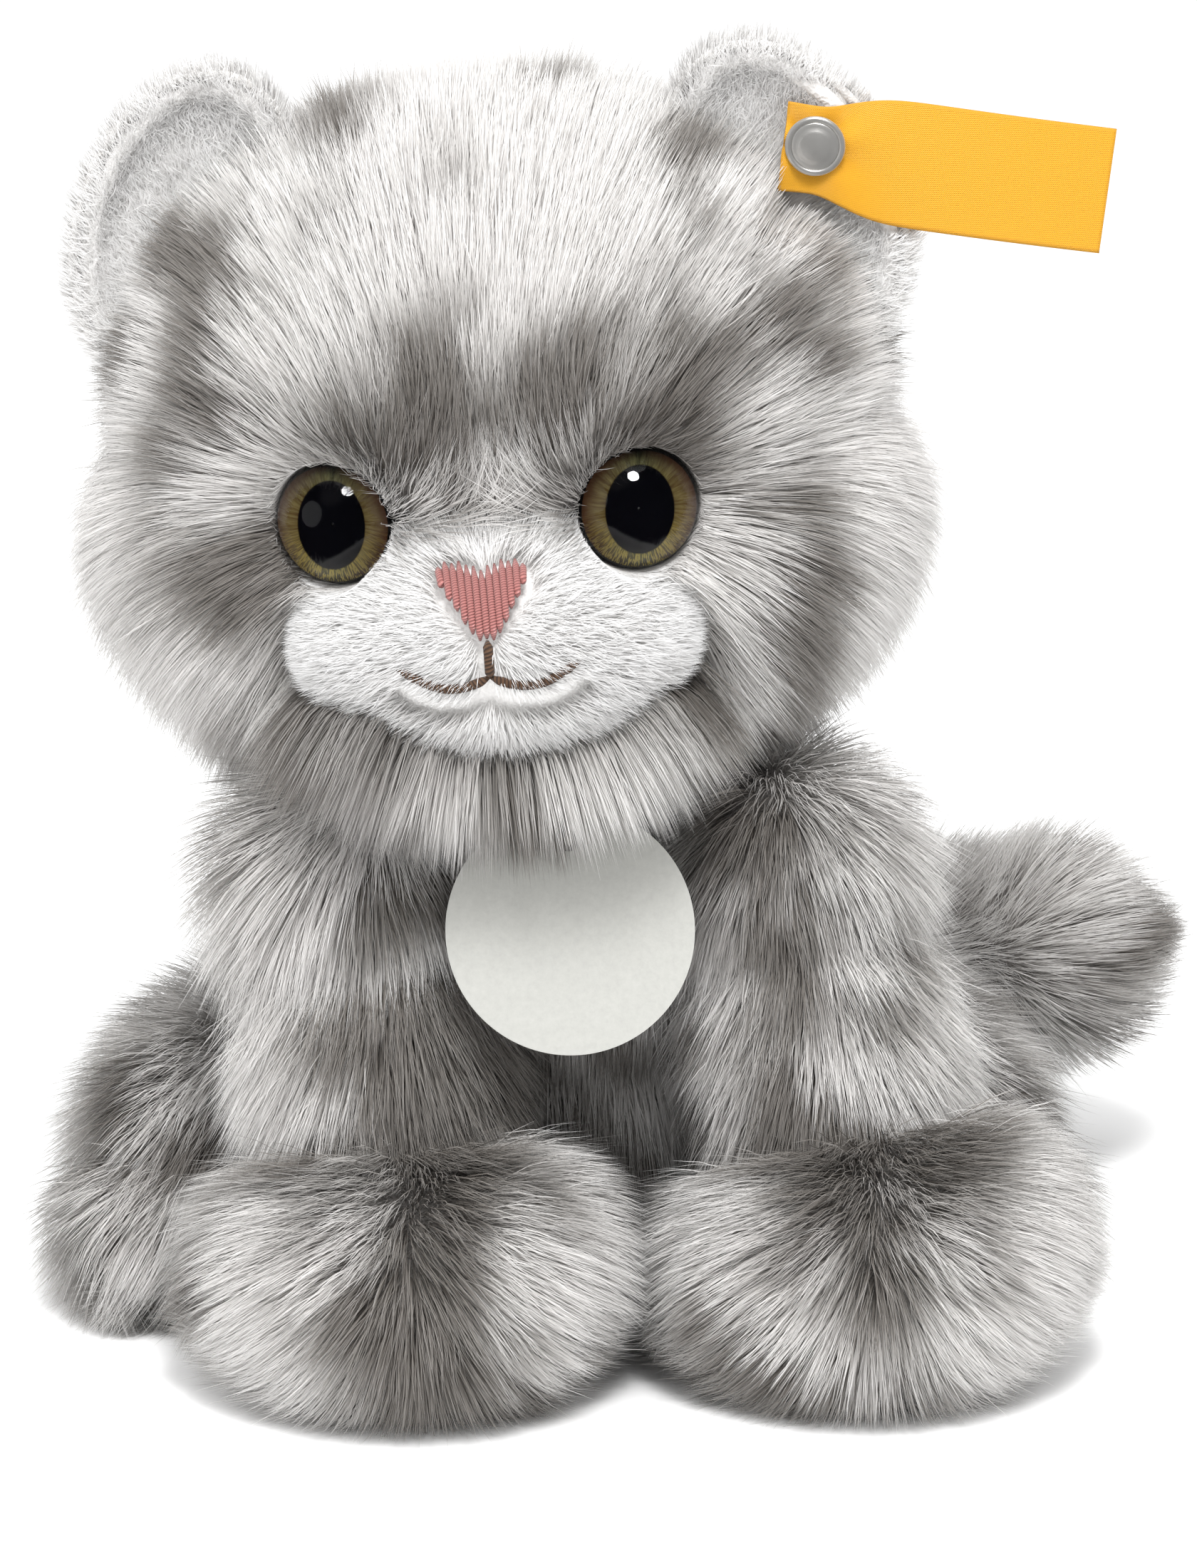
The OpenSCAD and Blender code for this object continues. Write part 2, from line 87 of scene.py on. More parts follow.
# Strands are left out where another cover is this near in front of their root
REACH, STEP_OFF = 4.0, 0.9
# Levels that strands are pressed to, from the middle of the chest tag or the ribbon, how far round
# it they reach, and how far forwards the roots that hang over the tag begin
TAG_BACK, TAG_FRONT, TAG_MARGIN, CHIN_ROOTS = -0.8, 1.2, 1.0, -7
RIBBON_BACK, RIBBON_MARGIN = -1.7, 0.8
BUTTON_BACK, BUTTON_MARGIN = -0.5, 0.4
# The gap that strands leave round an eye
EYE_GAP = 0.2
# Spread of the strands' angles, and how much further a stray strand stands up, in degrees
SPREAD, STRAY_RISE = 6, 14


# ---------------------------------------------------------------- vectors and places


def unit(v):
    """The vectors in v at length 1."""
    return v / np.maximum(np.linalg.norm(v, axis=-1, keepdims=True), 1e-9)


def dot(a, b):
    """Row by row scalar product, as a column."""
    return np.sum(a * b, axis=-1, keepdims=True)


def span(*nodes):
    """The lowest and highest corner of some CAD nodes together, in mm."""
    boxes = [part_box(n) for n in nodes]
    low = np.min([np.array(b[0]) for b in boxes], axis=0)
    high = np.max([np.array(b[1]) for b in boxes], axis=0)
    return low / MM, high / MM


def spot(box, fx, fy, fz):
    """A point in a box, each share running from 0 at its low side to 1 at its high side."""
    low, high = box
    return low + (high - low) * np.array((fx, fy, fz))


def middle_and_half(box):
    """A box's middle and half its size."""
    return (box[0] + box[1]) / 2, (box[1] - box[0]) / 2


def bearing(azimuth, elevation):
    """The direction from the kitten to a place round it, in degrees."""
    a, e = math.radians(azimuth), math.radians(elevation)
    return Vector((math.sin(a) * math.cos(e), -math.cos(a) * math.cos(e), math.sin(e)))


def arrays(mesh):
    """A mesh's vertices in mm, its triangles, and its vertex normals."""
    mesh.calc_loop_triangles()
    verts = np.empty(len(mesh.vertices) * 3, np.float32)
    mesh.vertices.foreach_get("co", verts)
    tris = np.empty(len(mesh.loop_triangles) * 3, np.int32)
    mesh.loop_triangles.foreach_get("vertices", tris)
    normals = np.empty(len(mesh.vertices) * 3, np.float32)
    mesh.vertex_normals.foreach_get("vector", normals)
    return verts.reshape(-1, 3) / MM, tris.reshape(-1, 3), normals.reshape(-1, 3)


def principal(node):
    """A CAD node's centre and its axes, from the longest to the shortest."""
    verts, tris, _ = arrays(NODES[node].data)
    corners = verts[tris]
    area = np.linalg.norm(
        np.cross(corners[:, 1] - corners[:, 0], corners[:, 2] - corners[:, 0]), axis=1
    )
    middle = corners.mean(1)
    centre = np.average(middle, axis=0, weights=area)
    _, axes = np.linalg.eigh(np.cov((middle - centre).T, aweights=area))
    return centre, axes[:, ::-1].T


def facing(axis, towards):
    """The axis, or its opposite, whichever points more towards a direction."""
    return axis if np.dot(axis, towards) > 0 else -axis


FRONT = np.array((0.0, -1.0, 0.0))
UP = np.array((0.0, 0.0, 1.0))


# ---------------------------------------------------------------- meshes


def triangles_mesh(name, verts, tris):
    """A mesh of triangles, made quickly from arrays in mm."""
    mesh = bpy.data.meshes.new(name)
    mesh.vertices.add(len(verts))
    mesh.vertices.foreach_set("co", (verts * MM).astype(np.float32).ravel())
    mesh.loops.add(len(tris) * 3)
    mesh.loops.foreach_set("vertex_index", tris.astype(np.int32).ravel())
    mesh.polygons.add(len(tris))
    mesh.polygons.foreach_set("loop_start", np.arange(len(tris), dtype=np.int32) * 3)
    mesh.update(calc_edges=True)
    mesh.shade_smooth()
    return mesh


def add_piece(mesh, body, material, slot, *replaced):
    """Shows a mesh as a piece that rides on a body and stands for some CAD nodes."""
    obj = bpy.data.objects.new(mesh.name, mesh)
    bpy.context.scene.collection.objects.link(obj)
    mesh.materials.clear()
    mesh.materials.append(material)
    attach(obj, body)
    if replaced:
        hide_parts(*replaced)
    return obj


def grid_mesh(name, points, closed=False):
    """A mesh over a rows x columns x 3 array of points in mm, with UVs along both ways."""
    rows, columns = points.shape[:2]
    last = columns if closed else columns - 1
    faces, uvs = [], []
    for r in range(rows - 1):
        for c in range(last):
            d = (c + 1) % columns
            faces.append((r * columns + c, r * columns + d, (r + 1) * columns + d, (r + 1) * columns + c))
            u0, u1 = r / (rows - 1), (r + 1) / (rows - 1)
            v0, v1 = c / last, (c + 1) / last
            uvs += [u0, v0, u0, v1, u1, v1, u1, v0]
    mesh = bpy.data.meshes.new(name)
    mesh.from_pydata((points.reshape(-1, 3) * MM).tolist(), [], faces)
    layer = mesh.uv_layers.new(name="UVMap")
    layer.data.foreach_set("uv", uvs)
    mesh.shade_smooth()
    return mesh


def thread_mesh(name, paths, radius, sides=8):
    """Round threads along some paths in mm, tapered at both ends, as one mesh with UVs."""
    bm = bmesh.new()
    layer = bm.loops.layers.uv.new("UVMap")
    angles = np.linspace(0, 2 * np.pi, sides, endpoint=False)
    for path in paths:
        path = np.asarray(path, float)
        tangent = unit(np.gradient(path, axis=0))
        across = unit(np.cross(tangent, FRONT + 0.01))
        over = np.cross(across, tangent)
        step = np.linspace(0, 1, len(path))
        width = radius * np.minimum(1, 0.35 + 6 * np.minimum(step, 1 - step))
        length = np.concatenate([[0], np.cumsum(np.linalg.norm(np.diff(path, axis=0), axis=1))])
        rings = []
        for i, at in enumerate(path):
            ring = [at + width[i] * (math.cos(a) * across[i] + math.sin(a) * over[i]) for a in angles]
            rings.append([bm.verts.new(point * MM) for point in ring])
        for i in range(len(rings) - 1):
            for j in range(sides):
                k = (j + 1) % sides
                face = bm.faces.new((rings[i][j], rings[i][k], rings[i + 1][k], rings[i + 1][j]))
                face.smooth = True
                around = (j / sides, (j + 1) / sides, (j + 1) / sides, j / sides)
                along = (length[i], length[i], length[i + 1], length[i + 1])
                for loop, u, v in zip(face.loops, along, around):
                    loop[layer].uv = (u, v)
        bm.faces.new(rings[0][::-1])
        bm.faces.new(rings[-1])
    mesh = bpy.data.meshes.new(name)
    bm.to_mesh(mesh)
    bm.free()
    return mesh


def lathe_mesh(name, profile, centre, axis, turns=72):
    """A profile of (radius, height) points in mm turned about an axis through a centre."""
    across = unit(np.cross(axis, UP))
    over = np.cross(axis, across)
    angles = np.linspace(0, 2 * np.pi, turns, endpoint=False)
    ring = np.cos(angles)[:, None] * across + np.sin(angles)[:, None] * over
    points = np.array([centre + r * ring + h * axis for r, h in profile])
    return grid_mesh(name, points, closed=True)


# ---------------------------------------------------------------- materials


def shader(name, color=(0.5, 0.5, 0.5), **sockets):
    """A material's tree and its Principled shader, with constant values on the sockets."""
    material = bpy.data.materials.new(name)
    material.use_nodes = True
    tree = material.node_tree
    principled = tree.nodes["Principled BSDF"]
    principled.inputs["Base Color"].default_value = (*color, 1)
    for socket, value in sockets.items():
        principled.inputs[socket.replace("_", " ")].default_value = value
    return material, tree, principled


def put(tree, kind, inputs=(), **settings):
    """A node with its settings, its inputs being values or other nodes' outputs."""
    node = tree.nodes.new("ShaderNode" + kind)
    for key, value in settings.items():
        setattr(node, key, value)
    for key, value in dict(inputs).items():
        if isinstance(value, bpy.types.NodeSocket):
            tree.links.new(value, node.inputs[key])
        else:
            node.inputs[key].default_value = value
    return node


def calc(tree, operation, a, b=0.0, clamp=False):
    """One step of arithmetic."""
    return put(tree, "Math", {0: a, 1: b}, operation=operation, use_clamp=clamp).outputs[0]


def ramp(tree, factor, *stops):
    """A colour ramp through (place, colour) stops."""
    node = put(tree, "ValToRGB", {"Fac": factor})
    elements = node.color_ramp.elements
    while len(elements) < len(stops):
        elements.new(0.5)
    for element, (place, color) in zip(elements, stops):
        element.position = place
        element.color = (*color, 1)
    return node.outputs["Color"]


def mix(tree, factor, a, b):
    """Colour a turning into colour b."""
    node = put(tree, "Mix", data_type="RGBA")
    for index, value in ((0, factor), (6, a), (7, b)):
        if isinstance(value, bpy.types.NodeSocket):
            tree.links.new(value, node.inputs[index])
        else:
            node.inputs[index].default_value = value if index == 0 else (*value, 1)
    return node.outputs[2]


def grey(value, warmth=0.0):
    """A grey, warmer where warmth is above 0."""
    return (value * (1 + warmth), value, value * (1 - warmth))


def attribute(tree, name):
    """A number that the mesh carries."""
    return put(tree, "Attribute", attribute_name=name).outputs["Fac"]


def paint(tree, principled, color):
    """Gives the shader a colour from the tree."""
    tree.links.new(color, principled.inputs["Base Color"])


def bump(tree, principled, height, distance, strength=1.0):
    """Raises the surface by a height map, distance being in mm."""
    node = put(tree, "Bump", {"Height": height, "Distance": distance * MM, "Strength": strength})
    tree.links.new(node.outputs["Normal"], principled.inputs["Normal"])


def place_noise(tree, scale, detail=3.0, roughness=0.5):
    """Noise through the object, scale being in grains per mm."""
    where = put(tree, "TexCoord").outputs["Object"]
    node = put(
        tree, "TexNoise", {"Vector": where, "Scale": scale / MM, "Detail": detail, "Roughness": roughness}
    )
    return node.outputs["Fac"]


def pile_material(name, light, dark, translucency):
    """Pile whose strands run from root to tip through light or dark tones, mixed by the print."""
    material, tree, principled = shader(name, Roughness=0.62)
    principled.inputs["Sheen Weight"].default_value = 0.06
    principled.inputs["Specular IOR Level"].default_value = 0.3
    along, vary = attribute(tree, "along"), attribute(tree, "vary")
    shift = calc(tree, "MULTIPLY", calc(tree, "SUBTRACT", vary, 0.5), 0.5)
    mark = calc(tree, "ADD", attribute(tree, "mark"), shift, clamp=True)
    color = mix(tree, mark, ramp(tree, along, *light), ramp(tree, along, *dark))
    paint(tree, principled, color)
    through = put(tree, "BsdfTranslucent", {"Color": color})
    both = put(tree, "MixShader", {0: translucency, 1: principled.outputs[0], 2: through.outputs[0]})
    tree.links.new(both.outputs[0], tree.nodes["Material Output"].inputs["Surface"])
    return material


def cloth_material(name, light, dark, threads_per_mm=2.2):
    """Knitted backing cloth, with a fine mesh of stitches and soft blotches of colour."""
    material, tree, principled = shader(name, Roughness=0.9)
    paint(tree, principled, mix(tree, place_noise(tree, 0.12), light, dark))
    where = put(tree, "TexCoord").outputs["Object"]
    knit = put(tree, "TexVoronoi", {"Vector": where, "Scale": threads_per_mm / MM})
    bump(tree, principled, knit.outputs["Distance"], 0.25, 0.7)
    return material


def fibre_material(name, light, dark):
    """Loose polyester filling: fine crossing fibres."""
    material, tree, principled = shader(name, Roughness=0.85)
    principled.inputs["Sheen Weight"].default_value = 0.3
    fibres = place_noise(tree, 1.6, 8, 0.75)
    paint(tree, principled, ramp(tree, fibres, (0.3, dark), (0.7, light)))
    bump(tree, principled, fibres, 0.8, 0.8)
    return material


def thread_material(name, light, dark, twists_per_mm=1.5, roughness=0.45):
    """Twisted embroidery floss: plies that wind round the thread, with painted shade that darkens each ply
    into the grooves between plies and leaves its crest lighter.
    """
    material, tree, principled = shader(name, Roughness=roughness)
    principled.inputs["Sheen Weight"].default_value = 0.1
    where = put(tree, "SeparateXYZ", {0: put(tree, "UVMap", uv_map="UVMap").outputs[0]})
    turn = calc(tree, "ADD", calc(tree, "MULTIPLY", where.outputs[0], twists_per_mm), where.outputs[1])
    ply = calc(tree, "PINGPONG", calc(tree, "MULTIPLY", turn, 2.0), 0.5)
    shade = calc(tree, "MULTIPLY", ply, 2.0)
    # painted shade: the floss colour darkens from each ply's crest into the grooves between plies,
    # following the bump's height
    paint(tree, principled, ramp(tree, shade, (0.0, dark), (0.7, light)))
    bump(tree, principled, shade, 0.18)
    return material


def plastic_material(name, color, roughness, grain=0.02):
    """Moulded plastic with a faint grain and slight shading of its colour."""
    material, tree, principled = shader(name, Roughness=roughness)
    darker = tuple(c * 0.75 for c in color)
    paint(tree, principled, mix(tree, place_noise(tree, 0.4), color, darker))
    bump(tree, principled, place_noise(tree, 4.0), grain)
    return material


def nickel_material():
    """Nickel-plated brass with fine polishing marks and dull patches."""
    material, tree, principled = shader("nickel", Metallic=0.75)
    paint(tree, principled, mix(tree, place_noise(tree, 0.5, 4), (0.66, 0.65, 0.63), (0.50, 0.49, 0.47)))
    dullness = calc(tree, "ADD", calc(tree, "MULTIPLY", place_noise(tree, 2.0, 6), 0.16), 0.24)
    tree.links.new(dullness, principled.inputs["Roughness"])
    bump(tree, principled, place_noise(tree, 6.0, 2), 0.012)
    return material


def ribbon_material():
    """Satin ribbon: fine slanting ribs, a selvedge along both edges, and a soft shine."""
    material, tree, principled = shader("ribbon", Roughness=0.5)
    principled.inputs["Sheen Weight"].default_value = 0.08
    where = put(tree, "SeparateXYZ", {0: put(tree, "UVMap", uv_map="UVMap").outputs[0]})
    along, across = where.outputs[0], where.outputs[1]
    warp = calc(tree, "MULTIPLY", along, 150.0)
    weft = calc(tree, "MULTIPLY", across, 62.0)
    twill = calc(tree, "PINGPONG", calc(tree, "ADD", warp, weft), 0.5)
    slanted = calc(tree, "SUBTRACT", weft, calc(tree, "MULTIPLY", warp, 0.2))
    ribs = calc(tree, "PINGPONG", slanted, 0.5)
    weave = calc(tree, "ADD", twill, calc(tree, "MULTIPLY", ribs, 0.8))
    edge = calc(tree, "PINGPONG", across, 0.5)
    selvedge = calc(tree, "LESS_THAN", edge, 0.035)
    gold = ramp(tree, weave, (0.0, (0.53, 0.23, 0.003)), (0.9, (0.74, 0.37, 0.007)))
    paint(tree, principled, mix(tree, selvedge, gold, (0.60, 0.28, 0.006)))
    bump(tree, principled, weave, 0.09)
    return material


def card_material():
    """Uncoated card with faint fibres."""
    material, tree, principled = shader("card", Roughness=0.75)
    fibres = place_noise(tree, 1.2, 8, 0.7)
    paint(tree, principled, ramp(tree, fibres, (0.25, (0.34, 0.34, 0.32)), (0.75, (0.40, 0.40, 0.376))))
    bump(tree, principled, fibres, 0.05, 0.6)
    return material


def iris_material():
    """The painted back of the eye: an oval pupil in an olive iris with fibres and gold flecks."""
    material, tree, principled = shader("iris", Roughness=0.6)
    principled.inputs["Specular IOR Level"].default_value = 0.0
    eye = put(tree, "Attribute", attribute_name="eye").outputs["Vector"]
    radius = put(tree, "VectorMath", {0: eye}, operation="LENGTH").outputs["Value"]
    ray = put(tree, "VectorMath", {0: eye}, operation="NORMALIZE").outputs[0]
    stretched = put(tree, "VectorMath", {0: ray, "Scale": 11.0}, operation="SCALE").outputs[0]
    outwards = put(tree, "CombineXYZ", {"Z": calc(tree, "MULTIPLY", radius, 1.6)}).outputs[0]
    where = put(tree, "VectorMath", {0: stretched, 1: outwards}, operation="ADD").outputs[0]
    fibres = put(tree, "TexNoise", {"Vector": where, "Scale": 1.5, "Detail": 6.0, "Roughness": 0.65})
    rings = ramp(
        tree, radius,
        (0.42, (0.06, 0.056, 0.024)), (0.60, (0.12, 0.114, 0.044)), (0.74, (0.085, 0.083, 0.036)),
        (0.84, (0.03, 0.029, 0.015)), (0.92, (0.004, 0.004, 0.004)),
    )
    shade = ramp(tree, fibres.outputs["Fac"], (0.38, grey(0.3)), (0.62, grey(1.1)))
    iris = put(tree, "Mix", data_type="RGBA", blend_type="MULTIPLY")
    iris.inputs[0].default_value = 1.0
    tree.links.new(rings, iris.inputs[6])
    tree.links.new(shade, iris.inputs[7])
    parts = put(tree, "SeparateXYZ", {0: eye})
    low = calc(tree, "MULTIPLY", parts.outputs[1], -1.2, clamp=True)
    flecks = put(tree, "TexNoise", {"Vector": where, "Scale": 3.4, "Detail": 2.0})
    gold = calc(tree, "MULTIPLY", low, calc(tree, "GREATER_THAN", flecks.outputs["Fac"], 0.52))
    flecked = mix(tree, gold, iris.outputs[2], (0.30, 0.24, 0.055))
    sides = calc(tree, "MULTIPLY", calc(tree, "ABSOLUTE", parts.outputs[0]), 0.45, clamp=True)
    warm = mix(tree, sides, flecked, (0.17, 0.07, 0.03))
    across = calc(tree, "POWER", calc(tree, "DIVIDE", parts.outputs[0], 0.50), 2.0)
    along = calc(tree, "POWER", calc(tree, "DIVIDE", parts.outputs[1], 0.66), 2.0)
    pupil = ramp(tree, calc(tree, "ADD", across, along), (0.92, grey(1.0)), (1.0, grey(0.0)))
    rim = calc(tree, "GREATER_THAN", radius, 0.94)
    black = calc(tree, "MAXIMUM", pupil, rim)
    paint(tree, principled, mix(tree, black, warm, (0.002, 0.002, 0.003)))
    return material


def dome_material():
    """Clear acrylic, very faintly and unevenly tinted."""
    material, tree, principled = shader("clear_dome", (1, 1, 1), Roughness=0.045, IOR=1.45)
    principled.inputs["Transmission Weight"].default_value = 1.0
    principled.inputs["Specular IOR Level"].default_value = 0.3
    paint(tree, principled, mix(tree, place_noise(tree, 0.3), (1, 1, 1), (0.97, 0.98, 0.97)))
    return material


def tones(*steps):
    """Greys from a strand's root to its tip, each given as (place, value, warmth)."""
    return [(place, grey(value, warmth)) for place, value, warmth in steps]


LIGHT_STOPS = tones((0.0, 0.37, 0.05), (0.35, 0.56, 0.03), (0.75, 0.69, 0.02), (1.0, 0.76, 0.01))
DARK_STOPS = tones((0.0, 0.09, 0.13), (0.45, 0.14, 0.11), (0.8, 0.20, 0.08), (1.0, 0.32, 0.05))
WHITE_STOPS = tones((0.0, 0.62, 0.015), (0.5, 0.73, 0.01), (1.0, 0.78, 0.0))
SHADE_STOPS = tones((0.0, 0.52, 0.03), (0.5, 0.64, 0.02), (1.0, 0.71, 0.01))
EAR_STOPS = tones((0.0, 0.76, 0.01), (0.5, 0.86, 0.01), (1.0, 0.92, 0.0))

long_pile = pile_material("long_pile", LIGHT_STOPS, DARK_STOPS, 0.30)
short_pile = pile_material("short_pile", WHITE_STOPS, SHADE_STOPS, 0.25)
ear_pile = pile_material("ear_pile", EAR_STOPS, DARK_STOPS, 0.30)
ear_felt = pile_material("ear_felt", EAR_STOPS, SHADE_STOPS, 0.25)
grey_cloth = cloth_material("grey_backing", grey(0.26, 0.05), grey(0.12, 0.08))
white_cloth = cloth_material("white_backing", grey(0.80, 0.01), grey(0.72, 0.02))
ear_cloth = cloth_material("ear_backing", grey(0.62, 0.02), grey(0.50, 0.03))
fibre = fibre_material("fibre_filling", grey(0.85), grey(0.6, 0.02))


# ---------------------------------------------------------------- stuffed surfaces


def largest_part(verts, tris):
    """The triangles of the biggest connected part of a mesh."""
    label = np.arange(len(verts))
    while True:
        low = label[tris].min(1)
        new = label.copy()
        for corner in range(3):
            np.minimum.at(new, tris[:, corner], low)
        new = new[new]
        if np.array_equal(new, label):
            break
        label = new
    names, counts = np.unique(label[tris[:, 0]], return_counts=True)
    return tris[label[tris[:, 0]] == names[counts.argmax()]]


def outer_surface(members, voxel, rounds):
    """The outside of some CAD nodes together, as one smooth closed mesh."""
    bm = bmesh.new()
    for node in members:
        bm.from_mesh(NODES[node].data)
    mesh = bpy.data.meshes.new("solids")
    bm.to_mesh(mesh)
    bm.free()
    solids = bpy.data.objects.new("solids", mesh)
    bpy.context.scene.collection.objects.link(solids)
    remesh = solids.modifiers.new("voxels", "REMESH")
    remesh.mode = "VOXEL"
    remesh.voxel_size = voxel * MM
    relax = solids.modifiers.new("relax", "SMOOTH")
    relax.factor = 0.5
    relax.iterations = rounds
    made = bpy.data.meshes.new_from_object(solids.evaluated_get(bpy.context.evaluated_depsgraph_get()))
    verts, tris, normals = arrays(made)
    tris = largest_part(verts, tris)
    bpy.data.objects.remove(solids)
    bpy.data.meshes.remove(mesh)
    bpy.data.meshes.remove(made)
    return verts, tris, normals


def tree_of(verts, tris):
    """A search tree over some triangles."""
    return BVHTree.FromPolygons(verts.tolist(), tris.tolist())


def nearest_panel(points, trees):
    """For each point, the index of the panel whose surface is nearest."""
    far = np.empty((len(trees), len(points)))
    for row, tree in enumerate(trees):
        far[row] = [tree.find_nearest(p)[3] for p in points.tolist()]
    return far.argmin(0)


def cut(verts, tris, keep):
    """The chosen triangles and only the vertices that they use."""
    used, renamed = np.unique(tris[keep], return_inverse=True)
    return verts[used], renamed.reshape(-1, 3), used


class Stuffed:
    """One body's sewn cover: its outer surface and the CAD panel that each place belongs to."""

    def __init__(self, body, panels, inside=(), voxel=2.0, rounds=4, inset=BACKING_INSET):
        self.body, self.panels, self.inset = body, list(panels), inset
        members = self.panels + list(inside)
        self.verts, self.tris, self.normals = outer_surface(members, voxel, rounds)
        self.trees = [tree_of(*arrays(NODES[p].data)[:2]) for p in self.panels]
        self.owner = nearest_panel(self.verts, self.trees)

    def back(self, panel, material, slot, name=None):
        """The panel's backing cloth, as a piece."""
        index = self.panels.index(panel)
        owners = self.owner[self.tris]
        mine = (owners == index).sum(1) >= 2
        if index == 0:
            mine |= (np.sort(owners, axis=1)[:, 1:] != np.sort(owners, axis=1)[:, :-1]).all(1)
        verts, tris, used = cut(self.verts, self.tris, mine)
        verts = verts - self.normals[used] * self.inset
        mesh = triangles_mesh(name or panel + "_backing", verts, tris)
        piece = add_piece(mesh, self.body, material, slot, panel)
        if len(self.panels) > 1:
            thick = piece.modifiers.new("cloth", "SOLIDIFY")
            thick.thickness = BACKING_THICKNESS * MM
            thick.offset = -1
        return piece


def scatter(skin, panel, density, rng):
    """Seeded roots and normals all over a panel, but not on the floor or close to another cover."""
    index = skin.panels.index(panel)
    near = (skin.owner[skin.tris] == index).any(1)
    tris = skin.tris[near]
    corners = skin.verts[tris]
    area = 0.5 * np.linalg.norm(
        np.cross(corners[:, 1] - corners[:, 0], corners[:, 2] - corners[:, 0]), axis=1
    )
    count = int(area.sum() * density)
    pick = rng.choice(len(tris), count, p=area / area.sum())
    u, v = rng.random((2, count, 1))
    flip = u + v > 1
    u, v = np.where(flip, 1 - u, u), np.where(flip, 1 - v, v)
    share = np.concatenate([1 - u - v, u, v], 1)[:, :, None]
    roots = (corners[pick] * share).sum(1)
    normals = unit((skin.normals[tris[pick]] * share).sum(1))
    mixed = ~(skin.owner[tris[pick]] == index).all(1)
    keep = np.ones(count, bool)
    keep[mixed] = nearest_panel(roots[mixed], skin.trees) == index
    open_air = [
        walls.ray_cast(o, n, REACH)[0] is None
        for o, n in zip((roots + normals * STEP_OFF).tolist(), normals.tolist())
    ]
    keep &= np.array(open_air)
    on_floor = (roots[:, 2] < 3.0) & (normals[:, 2] < -0.55)
    keep &= ~on_floor
    return roots[keep], normals[keep]


def comb(roots, normals, flow, coat, rng):
    """Each strand's points, from its root along the lie of the pile."""
    count = len(roots)
    # the lie of the pile, turned a little aside on each strand
    lay = unit(flow - dot(flow, normals) * normals)
    turn = rng.normal(0, coat["turn"], (count, 1))
    lay = lay * np.cos(turn) + np.cross(normals, lay) * np.sin(turn)
    length = coat["length"] * rng.uniform(0.72, 1.08, (count, 1))
    if "stretch" in coat:
        length = length * coat["stretch"](roots)[:, None]
    stand = coat["stand"](roots)[:, None] if "stand" in coat else 1.0
    hang = coat["hang"](roots) if "hang" in coat else -UP * coat["droop"]
    wobble = rng.normal(0, SPREAD, (count, 1))
    stray = rng.random((count, 1)) < coat["stray"]
    wobble += stray * STRAY_RISE
    points = [roots - normals * 0.8]
    for k in range(SEGMENTS):
        share = (k + 0.5) / SEGMENTS
        angle = coat["lift"] + (coat["tip_lift"] - coat["lift"]) * share
        angle = np.radians(angle * stand + wobble)
        step = lay * np.cos(angle) + normals * np.sin(angle) + hang * share
        points.append(points[-1] + unit(step) * length / SEGMENTS)
    return np.stack(points, 1), stray[:, 0]


def gather(roots, paths, stray, coat, rng):
    """Draws the tips of neighbouring strands together into locks. Also returns each one's lock."""
    locks = max(1, int(len(roots) / coat["density"] / coat["lock"]))
    guides = rng.choice(len(roots), locks, replace=False)
    tree = KDTree(len(guides))
    for i, guide in enumerate(guides):
        tree.insert(roots[guide], i)
    tree.balance()
    lock = guides[[tree.find(p)[1] for p in roots.tolist()]]
    share = np.linspace(0, 1, SEGMENTS + 1) ** 1.4
    pull = share[None, :, None] * coat["gather"] * rng.uniform(0.5, 1.0, (len(roots), 1, 1))
    pull[stray] = 0
    offset = (roots - roots[lock])[:, None, :] * 0.25
    return paths * (1 - pull) + (paths[lock] + offset) * pull, lock


